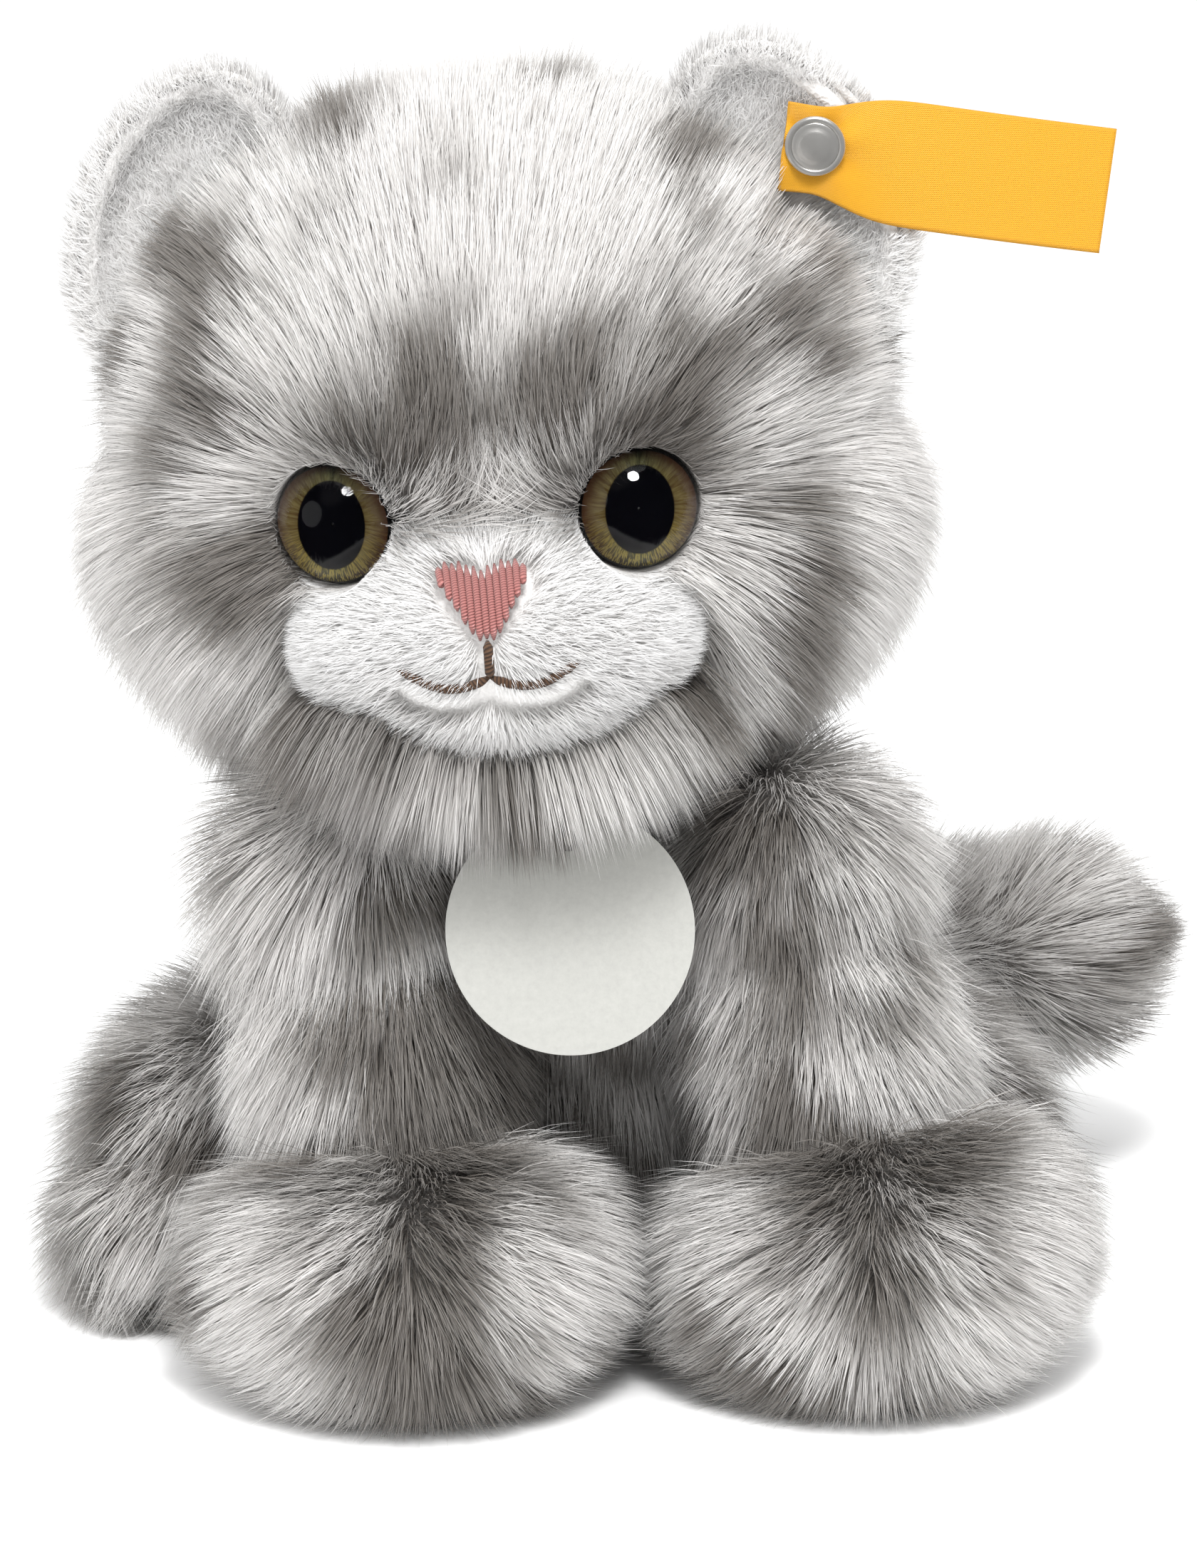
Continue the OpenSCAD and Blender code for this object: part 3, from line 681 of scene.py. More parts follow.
def ribbons(name, paths, normals, coat, mark, rng):
    """A mesh of tapering strands, with the numbers that the pile material reads."""
    count = len(paths)
    tangent = unit(np.gradient(paths, axis=1))
    outward = normals[:, None, :]
    side = unit(np.cross(tangent, outward))
    face = np.cross(side, tangent)
    roll = rng.normal(0, 0.55, (count, 1, 1))
    side = side * np.cos(roll) + face * np.sin(roll)
    face = unit(np.cross(side, tangent))
    taper = np.array((0.9, 1.0, 0.75, 0.0))
    width = coat["width"] * rng.uniform(0.75, 1.25, (count, 1, 1)) * taper[None, :, None] * 0.5
    left, right = paths - side * width, paths + side * width
    verts = np.empty((count, 7, 3))
    shaded = np.empty((count, 7, 3))
    soft = unit(face + outward * 0.9)
    for k in range(SEGMENTS):
        verts[:, 2 * k], verts[:, 2 * k + 1] = left[:, k], right[:, k]
        shaded[:, 2 * k] = shaded[:, 2 * k + 1] = soft[:, k]
    verts[:, 6], shaded[:, 6] = paths[:, SEGMENTS], soft[:, SEGMENTS]
    pattern = np.array(((0, 1, 3), (0, 3, 2), (2, 3, 5), (2, 5, 4), (4, 5, 6)))
    tris = (np.arange(count)[:, None, None] * 7 + pattern).reshape(-1, 3)
    mesh = triangles_mesh(name, verts.reshape(-1, 3), tris)
    mesh.normals_split_custom_set_from_vertices(shaded.reshape(-1, 3).astype(np.float32))
    along = np.array((0, 0, 1, 1, 2, 2, 3)) / SEGMENTS
    numbers = {
        "mark": np.repeat(mark, 7),
        "along": np.tile(along, count),
        "vary": np.repeat(rng.random(count), 7),
    }
    for key, values in numbers.items():
        layer = mesh.attributes.new(key, "FLOAT", "POINT")
        layer.data.foreach_set("value", values.astype(np.float32))
    cells = math.ceil(math.sqrt(count))
    corner = np.array(((0, 0), (1, 0), (0, 1), (1, 1), (0, 2), (1, 2), (0.5, 3)))
    corner = corner * (0.8, 0.8 / SEGMENTS) + 0.1
    place = np.stack((np.arange(count) % cells, np.arange(count) // cells), 1)
    uv = ((place[:, None, :] + corner) / cells).reshape(-1, 2)
    layer = mesh.uv_layers.new(name="OFBake")
    layer.data.foreach_set("uv", uv[tris.ravel()].astype(np.float32).ravel())
    return mesh


def blotches(points, grain, seed):
    """Soft noise at some points, grain being in mm."""
    shift = Vector((seed * 7.3, seed * 3.1, 0))
    return np.array([noise.noise(Vector(p) / grain + shift) for p in points.tolist()])


def printed(box, base, spots, grain=11.0, amount=0.75):
    """The print on a cover: dark and light spots at (x, z) places across a box, from -1 to 1.

    A spot is (x, z, radius across, radius up, strength), light where the strength is negative."""
    centre, half = middle_and_half(box)

    def mark(points):
        x, z = ((points - centre) / half).T[[0, 2]]
        total = np.full(len(points), float(base))
        for sx, sz, rx, rz, strength in spots:
            far = np.sqrt(((x - sx) / rx) ** 2 + ((z - sz) / rz) ** 2)
            near = np.clip(1.25 - far, 0, 1)
            total += strength * near * near * (3 - 2 * near)
        total += amount * blotches(points, grain, 1) + 0.3 * blotches(points, grain / 3, 2)
        return np.clip((total - 0.12) / 0.62, -0.1, 1.1)

    return mark


def along_strands(paths, places=7):
    """Points spread along each strand."""
    at = np.linspace(0, SEGMENTS - 0.001, places)
    before = at.astype(int)
    share = (at - before)[None, :, None]
    return paths[:, before] * (1 - share) + paths[:, before + 1] * share


def depth_and_reach(points, centre, axis):
    """How far points lie along an axis from a centre, and how far from the axis."""
    away = points - centre
    depth = away @ axis
    return depth, np.linalg.norm(away - depth[..., None] * axis, axis=-1)


def off_the_eyes(paths):
    """Moves strands aside from the eyes, and up from the floor."""
    for centre, axis, base, radius in EYES:
        away = paths - centre
        depth = (away @ axis)[..., None]
        aside = away - depth * axis
        far = np.linalg.norm(aside, axis=-1, keepdims=True)
        rim = centre + depth * axis + aside / np.maximum(far, 0.01) * (radius + EYE_GAP)
        paths = np.where((far < radius + EYE_GAP) & (depth > base - 3), rim, paths)
    paths[..., 2] = np.maximum(paths[..., 2], FLOOR_CLEARANCE)
    return paths


def over_an_eye(paths):
    """True for the strands that still cross an eye."""
    crossing = np.zeros(len(paths), bool)
    points = along_strands(paths, 13)
    for centre, axis, base, radius in EYES:
        depth, far = depth_and_reach(points, centre, axis)
        crossing |= ((far < radius) & (depth > base - 0.5)).any(1)
    return crossing


def press(paths, covered, depth, level, axis):
    """Moves the covered points back along an axis, down to a level."""
    push = np.where(covered & (depth > level), level - depth, 0)
    return paths + push[..., None] * axis


def behind_tag(paths):
    """Presses strands back behind the chest tag."""
    depth, far = depth_and_reach(paths, TAG_CENTRE, TAG_AXIS)
    return press(paths, far < TAG_RADIUS + TAG_MARGIN, depth, TAG_BACK, TAG_AXIS)


def before_tag(paths):
    """Brings the strands that hang from the chin in front of the chest tag, and the others behind."""
    depth, far = depth_and_reach(paths, TAG_CENTRE, TAG_AXIS)
    from_chin = depth[:, :1, None] > CHIN_ROOTS
    push = np.where((far < TAG_RADIUS + TAG_MARGIN) & (depth < TAG_FRONT), TAG_FRONT - depth, 0)
    push[:, 0] = 0
    return np.where(from_chin, paths + push[..., None] * TAG_AXIS, behind_tag(paths))


def behind_ribbon(paths):
    """Presses strands back behind the ribbon and the button."""
    centre, along, across, normal, half_length, half_width = RIBBON
    away = paths - centre
    beside = np.abs(away @ along) < half_length + RIBBON_MARGIN
    covered = beside & (np.abs(away @ across) < half_width + RIBBON_MARGIN)
    paths = press(paths, covered, away @ normal, RIBBON_BACK, normal)
    depth, far = depth_and_reach(paths, BUTTON_AT, BUTTON_AXIS)
    under = far < BUTTON_RADIUS + BUTTON_MARGIN
    return press(paths, under, depth, BUTTON_BASE + BUTTON_BACK, BUTTON_AXIS)


def grow(skin, panel, coat, flow, mark, material, slot, seed, reject=None, tidy=(), name=None, shear=None):
    """The pile of one panel, as a piece."""
    rng = np.random.default_rng(seed)
    roots, normals = scatter(skin, panel, coat["density"], rng)
    if reject is not None:
        keep = ~reject(roots, normals)
        roots, normals = roots[keep], normals[keep]
    paths, stray = comb(roots, normals, flow(roots), coat, rng)
    paths, lock = gather(roots, paths, stray, coat, rng)
    paths = off_the_eyes(paths)
    for step in tidy:
        paths = step(paths)
    shade = mark(roots)
    shade = 0.5 * shade[lock] + 0.5 * shade
    keep = ~over_an_eye(paths)
    if shear is not None:
        keep &= ~shear(paths)
    mesh = ribbons(name or panel + "_pile", paths[keep], normals[keep], coat, shade[keep], rng)
    return add_piece(mesh, skin.body, material, slot)


def dress(skin, panels, coat, flow, mark, slot, seed, tidy=()):
    """Grey backing cloth and long pile on some panels of a cover."""
    for index, panel in enumerate(panels):
        skin.back(panel, grey_cloth, slot)
        grow(skin, panel, coat, flow, mark, long_pile, slot, seed + index, tidy=tidy)


# ---------------------------------------------------------------- the covers

head = Stuffed(
    "head", ["head_side_left", "head_side_right", "head_gusset", "throat_panel", "muzzle_panel"],
    ["head_stuffing"], 1.8, 3,
)
torso = Stuffed(
    "torso", ["torso_back_left", "torso_back_right", "torso_belly", "torso_seat"], ["torso_stuffing"]
)
neck = Stuffed("neck", ["neck_stuffing"])
tail = Stuffed("tail", ["tail_upper", "tail_lower"], ["tail_stuffing"], 1.6)
ear_fronts, ear_backs, front_legs, hind_legs = {}, {}, {}, {}
for side in ("left", "right"):
    ear_fronts[side] = Stuffed("ear_" + side, ["ear_front_" + side], (), 0.6, 2, 0.2)
    ear_backs[side] = Stuffed("ear_" + side, ["ear_back_" + side], (), 0.6, 2, 0.2)
    for legs, kind in ((front_legs, "front_leg_"), (hind_legs, "hind_leg_")):
        panels = [kind + "outer_" + side, kind + "inner_" + side]
        legs[side] = Stuffed(kind + side, panels, [kind + "stuffing_" + side], 1.8, 5)

covers = [head, torso, neck, tail]
for group in (ear_fronts, ear_backs, front_legs, hind_legs):
    covers += group.values()
starts = np.cumsum([0] + [len(c.verts) for c in covers[:-1]])
walls = tree_of(
    np.concatenate([c.verts for c in covers]),
    np.concatenate([c.tris + s for c, s in zip(covers, starts)]),
)

EYES = []
for side in ("left", "right"):
    centre, axes = principal("eye_dome_" + side)
    axis = facing(axes[2], FRONT)
    verts = arrays(NODES["eye_dome_" + side].data)[0] - centre
    depth = verts @ axis
    radius = np.linalg.norm(verts - depth[:, None] * axis, axis=1).max()
    EYES.append((centre, axis, depth.min(), radius))
TAG_CENTRE, tag_axes = principal("chest_tag")
TAG_AXIS = facing(tag_axes[2], FRONT)
TAG_RADIUS = (span("chest_tag")[1] - span("chest_tag")[0])[0] / 2

swivel = next(joint for joint in frame["joints"] if joint["name"] == "flag_swivel")
BUTTON_AT = np.array(swivel["pos_m"]) / MM
BUTTON_AXIS = facing(unit(np.array(swivel["axis"])), FRONT)
button_depth, button_far = depth_and_reach(arrays(NODES["ear_button"].data)[0], BUTTON_AT, BUTTON_AXIS)
BUTTON_RADIUS = button_far.max()
BUTTON_BASE = button_depth[button_far > BUTTON_RADIUS * 0.9].min()


def ribbon_frame():
    """The ribbon's middle, its axes along, across and forwards, and its half length and half width."""
    verts = arrays(NODES["ear_flag"].data)[0] - BUTTON_AT
    level = unit(np.cross(BUTTON_AXIS, UP))
    rise = np.cross(level, BUTTON_AXIS)
    choices = []
    for turn in np.radians(np.arange(-20, 20, 0.1)):
        along = facing(level * math.cos(turn) + rise * math.sin(turn), (1, 0, 0))
        across = facing(np.cross(along, BUTTON_AXIS), UP)
        flat = verts @ np.array((along, across)).T
        low, high = flat.min(0), flat.max(0)
        choices.append((np.prod(high - low), along, across, (low + high) / 2, (high - low) / 2))
    _, along, across, middle, half = min(choices, key=lambda choice: choice[0])
    depth = verts @ BUTTON_AXIS
    centre = BUTTON_AT + middle[0] * along + middle[1] * across + depth.mean() * BUTTON_AXIS
    return centre, along, across, BUTTON_AXIS, half[0], half[1]


RIBBON = ribbon_frame()

head_box = span("head_side_left", "head_side_right", "head_gusset")
muzzle_box = span("muzzle_panel")
torso_box = span("torso_back_left", "torso_back_right", "torso_belly")
tail_box = span("tail_upper", "tail_lower")
face_right = unit(EYES[0][0] - EYES[1][0])
bridge = (EYES[0][0] + EYES[1][0]) / 2


def over_the_head(points):
    """How far points are to the back, below the eyes, to the side and under the chin, 0 to 1 each."""
    centre, half = middle_and_half(head_box)
    back = np.clip((points[:, 1] - centre[1]) / half[1], 0, 1)
    below = np.clip((bridge[2] + 8 - points[:, 2]) / 34, 0, 1)
    aside = np.clip(np.abs(points[:, 0] - centre[0]) / half[0], 0, 1) ** 2
    ahead = np.clip((centre[1] + 4 - points[:, 1]) / 14, 0, 1)
    chin = ahead * np.clip((muzzle_box[0][2] + 7 - points[:, 2]) / 10, 0, 1)
    return back, below, aside, chin


def head_flow(points):
    """Away from the bridge of the nose, falling on the cheeks, behind and under the chin."""
    away = unit(points - (bridge + np.array((0, 8, -15))))
    back, below, aside, chin = over_the_head(points)
    flow = away - UP * (0.1 + 0.9 * back + 0.85 * below + 0.45 * aside)[:, None]
    for eye_at, _, _, radius in EYES:
        apart = points - eye_at
        near = np.exp(-((np.linalg.norm(apart, axis=1) / (radius * 1.8)) ** 2))
        flow += unit(apart) * near[:, None] * 1.6
    ruff = (points - spot(head_box, 0.5, 0.5, 0.5)) * (0.012, 0, 0) + (0, -0.6, -1)
    return flow * (1 - chin)[:, None] + ruff * chin[:, None]


def head_hang(points):
    """The droop of the head's pile, strongest under the chin and at the back."""
    back, below, aside, chin = over_the_head(points)
    middle = spot(head_box, 0.5, 0.5, 0.5)
    sideways = np.clip((points - middle) @ np.array((1, 0, 0)) * 0.02, -0.5, 0.5)
    ruff = np.stack((sideways, np.full(len(points), -0.30), np.full(len(points), -1.0)), 1)
    return ruff * (1.5 * chin)[:, None] - UP * (0.06 + 0.35 * below + 0.3 * back)[:, None]


def head_stretch(points):
    """Shorter pile on the crown and longer pile below."""
    _, below, _, chin = over_the_head(points)
    near = [np.linalg.norm(points - at, axis=1) / (radius * 1.4) for at, _, _, radius in EYES]
    return (0.90 + 0.34 * below + 0.12 * chin) * (1 - 0.45 * np.exp(-(np.min(near, axis=0) ** 2)))


def head_stand(points):
    """The pile stands out more on the lower cheeks."""
    return 1 + 0.45 * over_the_head(points)[1]


def ruff_flow(points):
    """Forwards under the chin, and out to both sides."""
    return (points - spot(muzzle_box, 0.5, 0.5, 0.5)) * (0.03, 0, 0) + (0, -1, -0.2)


def ruff_hang(points):
    """The droop of the ruff, fanning out a little to both sides."""
    centre, half = middle_and_half(muzzle_box)
    sideways = np.clip((points[:, 0] - centre[0]) / half[0] / 2, -0.5, 0.5)
    return np.stack((0.8 * sideways, np.full(len(points), -0.05), np.full(len(points), -1.2)), 1)


def under_the_muzzle(points, normals):
    """True on the muzzle's underside, where the ruff's long pile begins."""
    return (normals[:, 2] < -0.5) & (points[:, 1] > muzzle_box[0][1] + 6)


def leg_stretch(box, side, outside):
    """Longer pile up the outside of the shoulder."""
    middle, half = middle_and_half(box)
    way = 1 if side == "left" else -1

    def stretch(points):
        outer = np.clip(way * (points[:, 0] - middle[0]) / half[0] + 0.2, 0, 1)
        high = np.clip((points[:, 2] - middle[2] + 8) / 12, 0, 1)
        return 1 + outside * outer * high

    return stretch


def down_flow(points):
    """Down, and a little out from the middle of the body."""
    away = unit((points - spot(torso_box, 0.5, 0.5, 0.5)) * (1, 1, 0))
    return away * 0.25 - UP


def paw_share(box):
    """How much of a point on a leg is paw, from 0 on the leg to 1 below the ankle."""
    ankle = spot(box, 0.5, 0.62, 0.42)
    return lambda points: np.clip((ankle[2] + 4 - points[:, 2]) / 14, 0, 1)


def leg_flow(box):
    """Down the leg, then to both sides from a parting down the middle of the paw."""
    middle, half = middle_and_half(box)
    share = paw_share(box)

    def flow(points):
        paw = share(points)[:, None]
        sideways = (points[:, 0] - middle[0]) / half[0]
        parted = np.stack((1.7 * sideways, -0.25 - 0 * sideways, -0.6 + 0.25 * np.abs(sideways)), 1)
        return (1 - paw) * -UP + paw * parted

    return flow


def from_point(point):
    """Away from a point."""
    return lambda points: unit(points - point)


# The print's spots on each cover, as (x, z, radius across, radius up, strength) in shares of its box
HEAD_SPOTS = (
    (0.00, 0.75, 0.50, 0.34, -0.38), (0.00, 0.16, 0.38, 0.24, 0.50), (-0.38, 0.06, 0.16, 0.18, 0.50),
    (0.30, 0.02, 0.18, 0.16, 0.50), (-0.80, 0.24, 0.22, 0.13, 0.55), (-0.58, 0.14, 0.20, 0.12, 0.40),
    (-0.80, 0.52, 0.14, 0.12, 0.45), (-0.60, -0.30, 0.13, 0.24, 0.50), (-0.92, -0.25, 0.20, 0.25, -0.50),
    (-0.86, -0.70, 0.22, 0.30, -0.25), (0.55, -0.26, 0.16, 0.30, 0.50), (0.62, -0.55, 0.12, 0.16, 0.40),
    (0.47, 0.30, 0.20, 0.12, 0.35), (0.97, 0.30, 0.14, 0.07, 0.70), (0.42, 0.80, 0.13, 0.10, 0.35),
    (0.88, -0.05, 0.30, 0.30, -0.75), (0.88, -0.58, 0.28, 0.34, -0.80), (0.45, 0.55, 0.20, 0.14, -0.20),
    (-0.40, 0.45, 0.25, 0.14, -0.25), (0.02, -0.93, 0.08, 0.10, 0.60), (0.38, -0.78, 0.12, 0.10, 0.45),
)
TORSO_SPOTS = (
    (-0.55, 0.45, 0.35, 0.35, 0.55), (0.55, 0.60, 0.35, 0.30, 0.60), (0.0, -0.25, 0.40, 0.55, 0.35),
    (0.75, -0.10, 0.30, 0.40, -0.40), (-0.80, -0.20, 0.25, 0.45, -0.30),
)
RIGHT_LEG_SPOTS = (
    (0.25, 0.35, 0.45, 0.50, 0.60), (-0.75, 0.10, 0.35, 0.70, -0.45), (0.05, -0.55, 0.20, 0.40, 0.65),
    (0.70, -0.60, 0.35, 0.35, -0.40), (-0.60, -0.75, 0.35, 0.25, -0.30), (0.1, -0.1, 0.4, 0.2, 0.35),
)
LEFT_LEG_SPOTS = (
    (-0.50, 0.80, 0.35, 0.22, 0.65), (0.45, 0.90, 0.45, 0.25, -0.50), (0.55, 0.30, 0.40, 0.50, -0.85),
    (-0.45, 0.15, 0.30, 0.55, 0.40), (0.05, -0.22, 0.60, 0.12, 0.60), (0.05, -0.60, 0.18, 0.32, 0.60),
    (-0.60, -0.80, 0.30, 0.25, 0.65), (0.70, -0.60, 0.35, 0.40, -0.50), (-0.45, -0.45, 0.22, 0.2, -0.4),
)
HIND_SPOTS = (
    (0.0, 0.10, 0.45, 0.55, 0.50), (-0.70, -0.40, 0.30, 0.40, -0.30), (0.70, 0.50, 0.30, 0.40, -0.30),
)
TAIL_SPOTS = ((-0.15, 0.1, 0.30, 0.9, 0.70), (0.50, 0.0, 0.30, 0.8, -0.35), (0.95, -0.2, 0.2, 0.6, 0.3))

head_print = printed(head_box, 0.21, HEAD_SPOTS, 10.0, 1.1)
torso_print = printed(torso_box, 0.35, TORSO_SPOTS, 10.0, 1.1)
tail_print = printed(tail_box, 0.17, TAIL_SPOTS, 10.0, 1.1)


def plain(points):
    """No print: only faint shading."""
    return np.clip(0.1 + 0.3 * blotches(points, 6.0, 4), 0, 1)


def ear_print(box, side):
    """Nearly white along the ear's rim and its outer edge, and grey behind and towards the head."""
    low, high = box
    centre, axes = principal("ear_front_" + side)
    forwards = facing(axes[2], FRONT)

    def mark(points):
        inward = np.abs(points[:, 0] - (high[0] if side == "left" else low[0])) / (high[0] - low[0])
        behind = np.clip(((centre - points) @ forwards - 2.5) / 4, 0, 1)
        towards_head = np.clip((inward - 0.5) / 0.3, 0, 1)
        return -0.3 + 0.5 * towards_head + 0.8 * behind + 0.15 * blotches(points, 5.0, 3)

    return mark


stitches = [tree_of(*arrays(NODES[n].data)[:2]) for n in ("nose_embroidery", "mouth_embroidery")]


def near_stitches(points, distance):
    """True for points within a distance of the nose or the mouth."""
    return np.array([any(t.find_nearest(p)[3] < distance for t in stitches) for p in points.tolist()])


def not_muzzle(points, normals):
    """True where a root is under the nose, beside the mouth's thread, or in the ruff."""
    return near_stitches(points, 0.5) | under_the_muzzle(points, normals)


def over_stitches(paths):
    """True for the strands that would cross the nose or the mouth."""
    points = along_strands(paths, 8)[:, 2:].reshape(-1, 3).tolist()
    covering = [any(t.ray_cast(p, (0, 1, 0), 4.0)[0] is not None for t in stitches) for p in points]
    return np.array(covering).reshape(len(paths), -1).any(1)


head_coat = dict(HEAD_COAT, hang=head_hang, stretch=head_stretch, stand=head_stand)
dress(
    head, head.panels[:4], head_coat, head_flow, head_print, "long_pile_light", 10,
    (before_tag, behind_ribbon),
)
head.back("muzzle_panel", white_cloth, "white_short_pile")
muzzle_middle = spot(muzzle_box, 0.5, 0.5, 0.55)
grow(
    head, "muzzle_panel", SHORT_COAT, from_point(muzzle_middle), plain, short_pile, "white_short_pile", 15,
    reject=not_muzzle, shear=over_stitches,
)

ruff_coat = dict(RUFF_COAT, hang=ruff_hang)
grow(
    head, "muzzle_panel", ruff_coat, ruff_flow, head_print, long_pile, "long_pile_light", 16,
    reject=lambda points, normals: ~under_the_muzzle(points, normals), tidy=(before_tag,), name="chin_ruff",
)
grow(
    head, "throat_panel", ruff_coat, ruff_flow, head_print, long_pile, "long_pile_light", 17,
    reject=lambda points, normals: points[:, 1] > -18, tidy=(before_tag,), name="throat_ruff",
)

dress(torso, torso.panels, LONG_COAT, down_flow, torso_print, "long_pile_dark", 20, (behind_tag,))
neck.back("neck_stuffing", grey_cloth, "long_pile_dark", name="neck_sleeve")
grow(
    neck, "neck_stuffing", LONG_COAT, down_flow, torso_print, long_pile, "long_pile_dark", 25,
    tidy=(behind_tag,), name="neck_pile",
)
tail_root = spot(tail_box, -0.1, 0.75, 0.3)
dress(tail, tail.panels, TAIL_COAT, from_point(tail_root), tail_print, "long_pile_light", 30)

for number, side in enumerate(("left", "right")):
    spots = LEFT_LEG_SPOTS if side == "left" else RIGHT_LEG_SPOTS
    leg = front_legs[side]
    leg_box = span(*leg.panels)
    leg_print = printed(leg_box, 0.22 if side == "left" else 0.36, spots, 9.0, 1.1)
    paw = paw_share(leg_box)
    stretch = leg_stretch(leg_box, side, 0.35 if side == "left" else 0.5)
    leg_coat = dict(PAW_COAT, stand=lambda points: 0.85 + 0.15 * paw(points), stretch=stretch)
    seed = 40 + 10 * number
    dress(leg, leg.panels, leg_coat, leg_flow(leg_box), leg_print, "long_pile_light", seed, (behind_tag,))
    leg = hind_legs[side]
    leg_box = span(*leg.panels)
    hip = spot(leg_box, 0.3 if side == "left" else 0.7, 0.9, 1.0)
    leg_print = printed(leg_box, 0.26, HIND_SPOTS, 9.0, 1.1)
    dress(leg, leg.panels, HIND_COAT, from_point(hip), leg_print, "long_pile_light", 60 + 10 * number)
    ear_box = span("ear_front_" + side, "ear_back_" + side)
    base = spot(ear_box, 0.2 if side == "left" else 0.8, 0.5, -0.1)
    ribboned = (behind_ribbon,) if side == "left" else ()
    front, back = ear_fronts[side], ear_backs[side]
    front.back("ear_front_" + side, white_cloth, "white_short_pile")
    grow(
        front, "ear_front_" + side, FELT_COAT, from_point(base), plain, ear_felt, "white_short_pile",
        80 + number, tidy=ribboned,
    )
    back.back("ear_back_" + side, ear_cloth, "long_pile_light")
    grow(
        back, "ear_back_" + side, EAR_COAT, from_point(base), ear_print(ear_box, side),
        ear_pile, "long_pile_light", 90 + number, tidy=ribboned,
    )


# ---------------------------------------------------------------- filling


def fill(node, body):
    """A lump of filling with the dents that loose fibre shows."""
    verts, tris, normals = outer_surface([node], 2.5, 3)
    dents = np.clip(blotches(verts, 6.0, 5) + 0.4, 0, 1)[:, None]
    verts = verts - normals * (0.6 + 1.2 * dents)
    verts, tris, _ = cut(verts, tris, np.ones(len(tris), bool))
    piece = add_piece(triangles_mesh(node + "_fibre", verts, tris), body, fibre, "stuffing", node)


fill("head_stuffing", "head")
fill("torso_stuffing", "torso")
fill("tail_stuffing", "tail")
for side in ("left", "right"):
    fill("front_leg_stuffing_" + side, "front_leg_" + side)
    fill("hind_leg_stuffing_" + side, "hind_leg_" + side)


# ---------------------------------------------------------------- eyes, nose and mouth


def iris(side, eye):
    """The painted disc behind the dome, dished and carrying its own coordinates."""
    centre, axis, base, radius = eye
    right = facing(unit(np.cross(UP, axis)), (1, 0, 0))
    up = unit(facing(np.cross(axis, right), UP))
    rings, turns = 14, 64
    radius -= 0.35
    points, places = [], []
    for r in np.linspace(0.02, 1, rings):
        for a in np.linspace(0, 2 * np.pi, turns, endpoint=False):
            x, y = r * math.cos(a), r * math.sin(a)
            dish = base + 0.75 - 0.5 * (1 - r * r)
            points.append(centre + radius * (x * right + y * up) + dish * axis)
            places += [x, y, 0]
    mesh = grid_mesh("iris_" + side, np.array(points).reshape(rings, turns, 3), closed=True)
    mesh.attributes.new("eye", "FLOAT_VECTOR", "POINT").data.foreach_set("vector", places)
    return mesh


def eye_glass(side, eye):
    """The clear domed front of the eye."""
    centre, axis, base, radius = eye
    height = (arrays(NODES["eye_dome_" + side].data)[0] - centre) @ axis
    height = height.max() - base - 0.2
    ball = (radius**2 + height**2) / (2 * height)
    widest = math.asin(min(1.0, radius / ball))
    profile = [(0.01, base), (radius - 0.3, base), (radius, base + 0.1)]
    for angle in np.linspace(widest, 0.002, 32):
        profile.append((ball * math.sin(angle), base + 0.2 + height - ball * (1 - math.cos(angle))))
    return lathe_mesh("eye_glass_" + side, profile, centre, axis, 96)


dome = dome_material()
iris_paint = iris_material()
for side, eye in zip(("left", "right"), EYES):
    add_piece(iris(side, eye), "head", iris_paint, "eye_plastic")
    add_piece(eye_glass(side, eye), "head", dome, "clear_dome", "eye_dome_" + side)

muzzle_tree = head.trees[head.panels.index("muzzle_panel")]


def on_muzzle(x, z, lift):
    """A point in front of the muzzle's cloth at a place across the face."""
    hit = muzzle_tree.ray_cast((x, span("muzzle_panel")[0][1] - 20, z), (0, 1, 0))[0]
    return np.array((x, hit[1] - lift, z))


def face_place(origin, right, up):
    """A place given in mm right and up of an origin on the tilted face."""
    x = origin[0] + right * face_right[0] - up * face_right[2]
    z = origin[2] + right * face_right[2] + up * face_right[0]
    return x, z


def nose_threads(count=13):
    """Satin stitches side by side, from the nose's dipped top to its blunt bottom."""
    centre, half = middle_and_half(span("nose_embroidery"))
    paths = []
    for number, u in enumerate(np.linspace(-0.94, 0.94, count)):
        dip = 0.17 * math.exp(-((u / 0.26) ** 2)) + 0.45 * max(0.0, abs(u) - 0.74)
        top = half[2] * (0.94 - dip + 0.05 * (number % 2))
        bottom = half[2] * (-0.96 + 2.0 * max(0.0, abs(u) - 0.24) - 0.04 * (number % 2))
        path = []
        for s in np.linspace(0, 1, 9):
            x, z = face_place(centre, u * half[0] * (1 - 0.05 * s), top + (bottom - top) * s)
            path.append(on_muzzle(x, z, 2.2 * math.sqrt(max(0, s * (1 - s))) + 0.2))
        paths.append(path)
    return thread_mesh("nose_stitches", paths, half[0] * 1.08 / count)


def mouth_threads():
    """A stitch down from the nose, and one out along each side of the mouth."""
    centre, half = middle_and_half(span("mouth_embroidery"))
    fall, sag, rise, reach = 4.4, 1.4, 0.9, half[0] * 0.98
    corner = half[2] - fall
    lines = [[(0.0, half[2] - fall * s) for s in np.linspace(0, 1, 9)]]
    for way in (-1, 1):
        arm = []
        for s in np.linspace(0, 1, 33):
            arm.append((way * s * reach, corner - sag * math.sin(math.pi * min(1, s * 1.1)) + rise * s**3))
        lines.append(arm)
    threads = []
    for line in lines:
        points = np.array([on_muzzle(*face_place(centre, x, z), 1.0) for x, z in line])
        ends = np.abs(np.linspace(-1, 1, len(points))) ** 10
        points[:, 1] += 0.6 * ends
        threads.append(points)
    return thread_mesh("mouth_stitches", threads, 0.6)


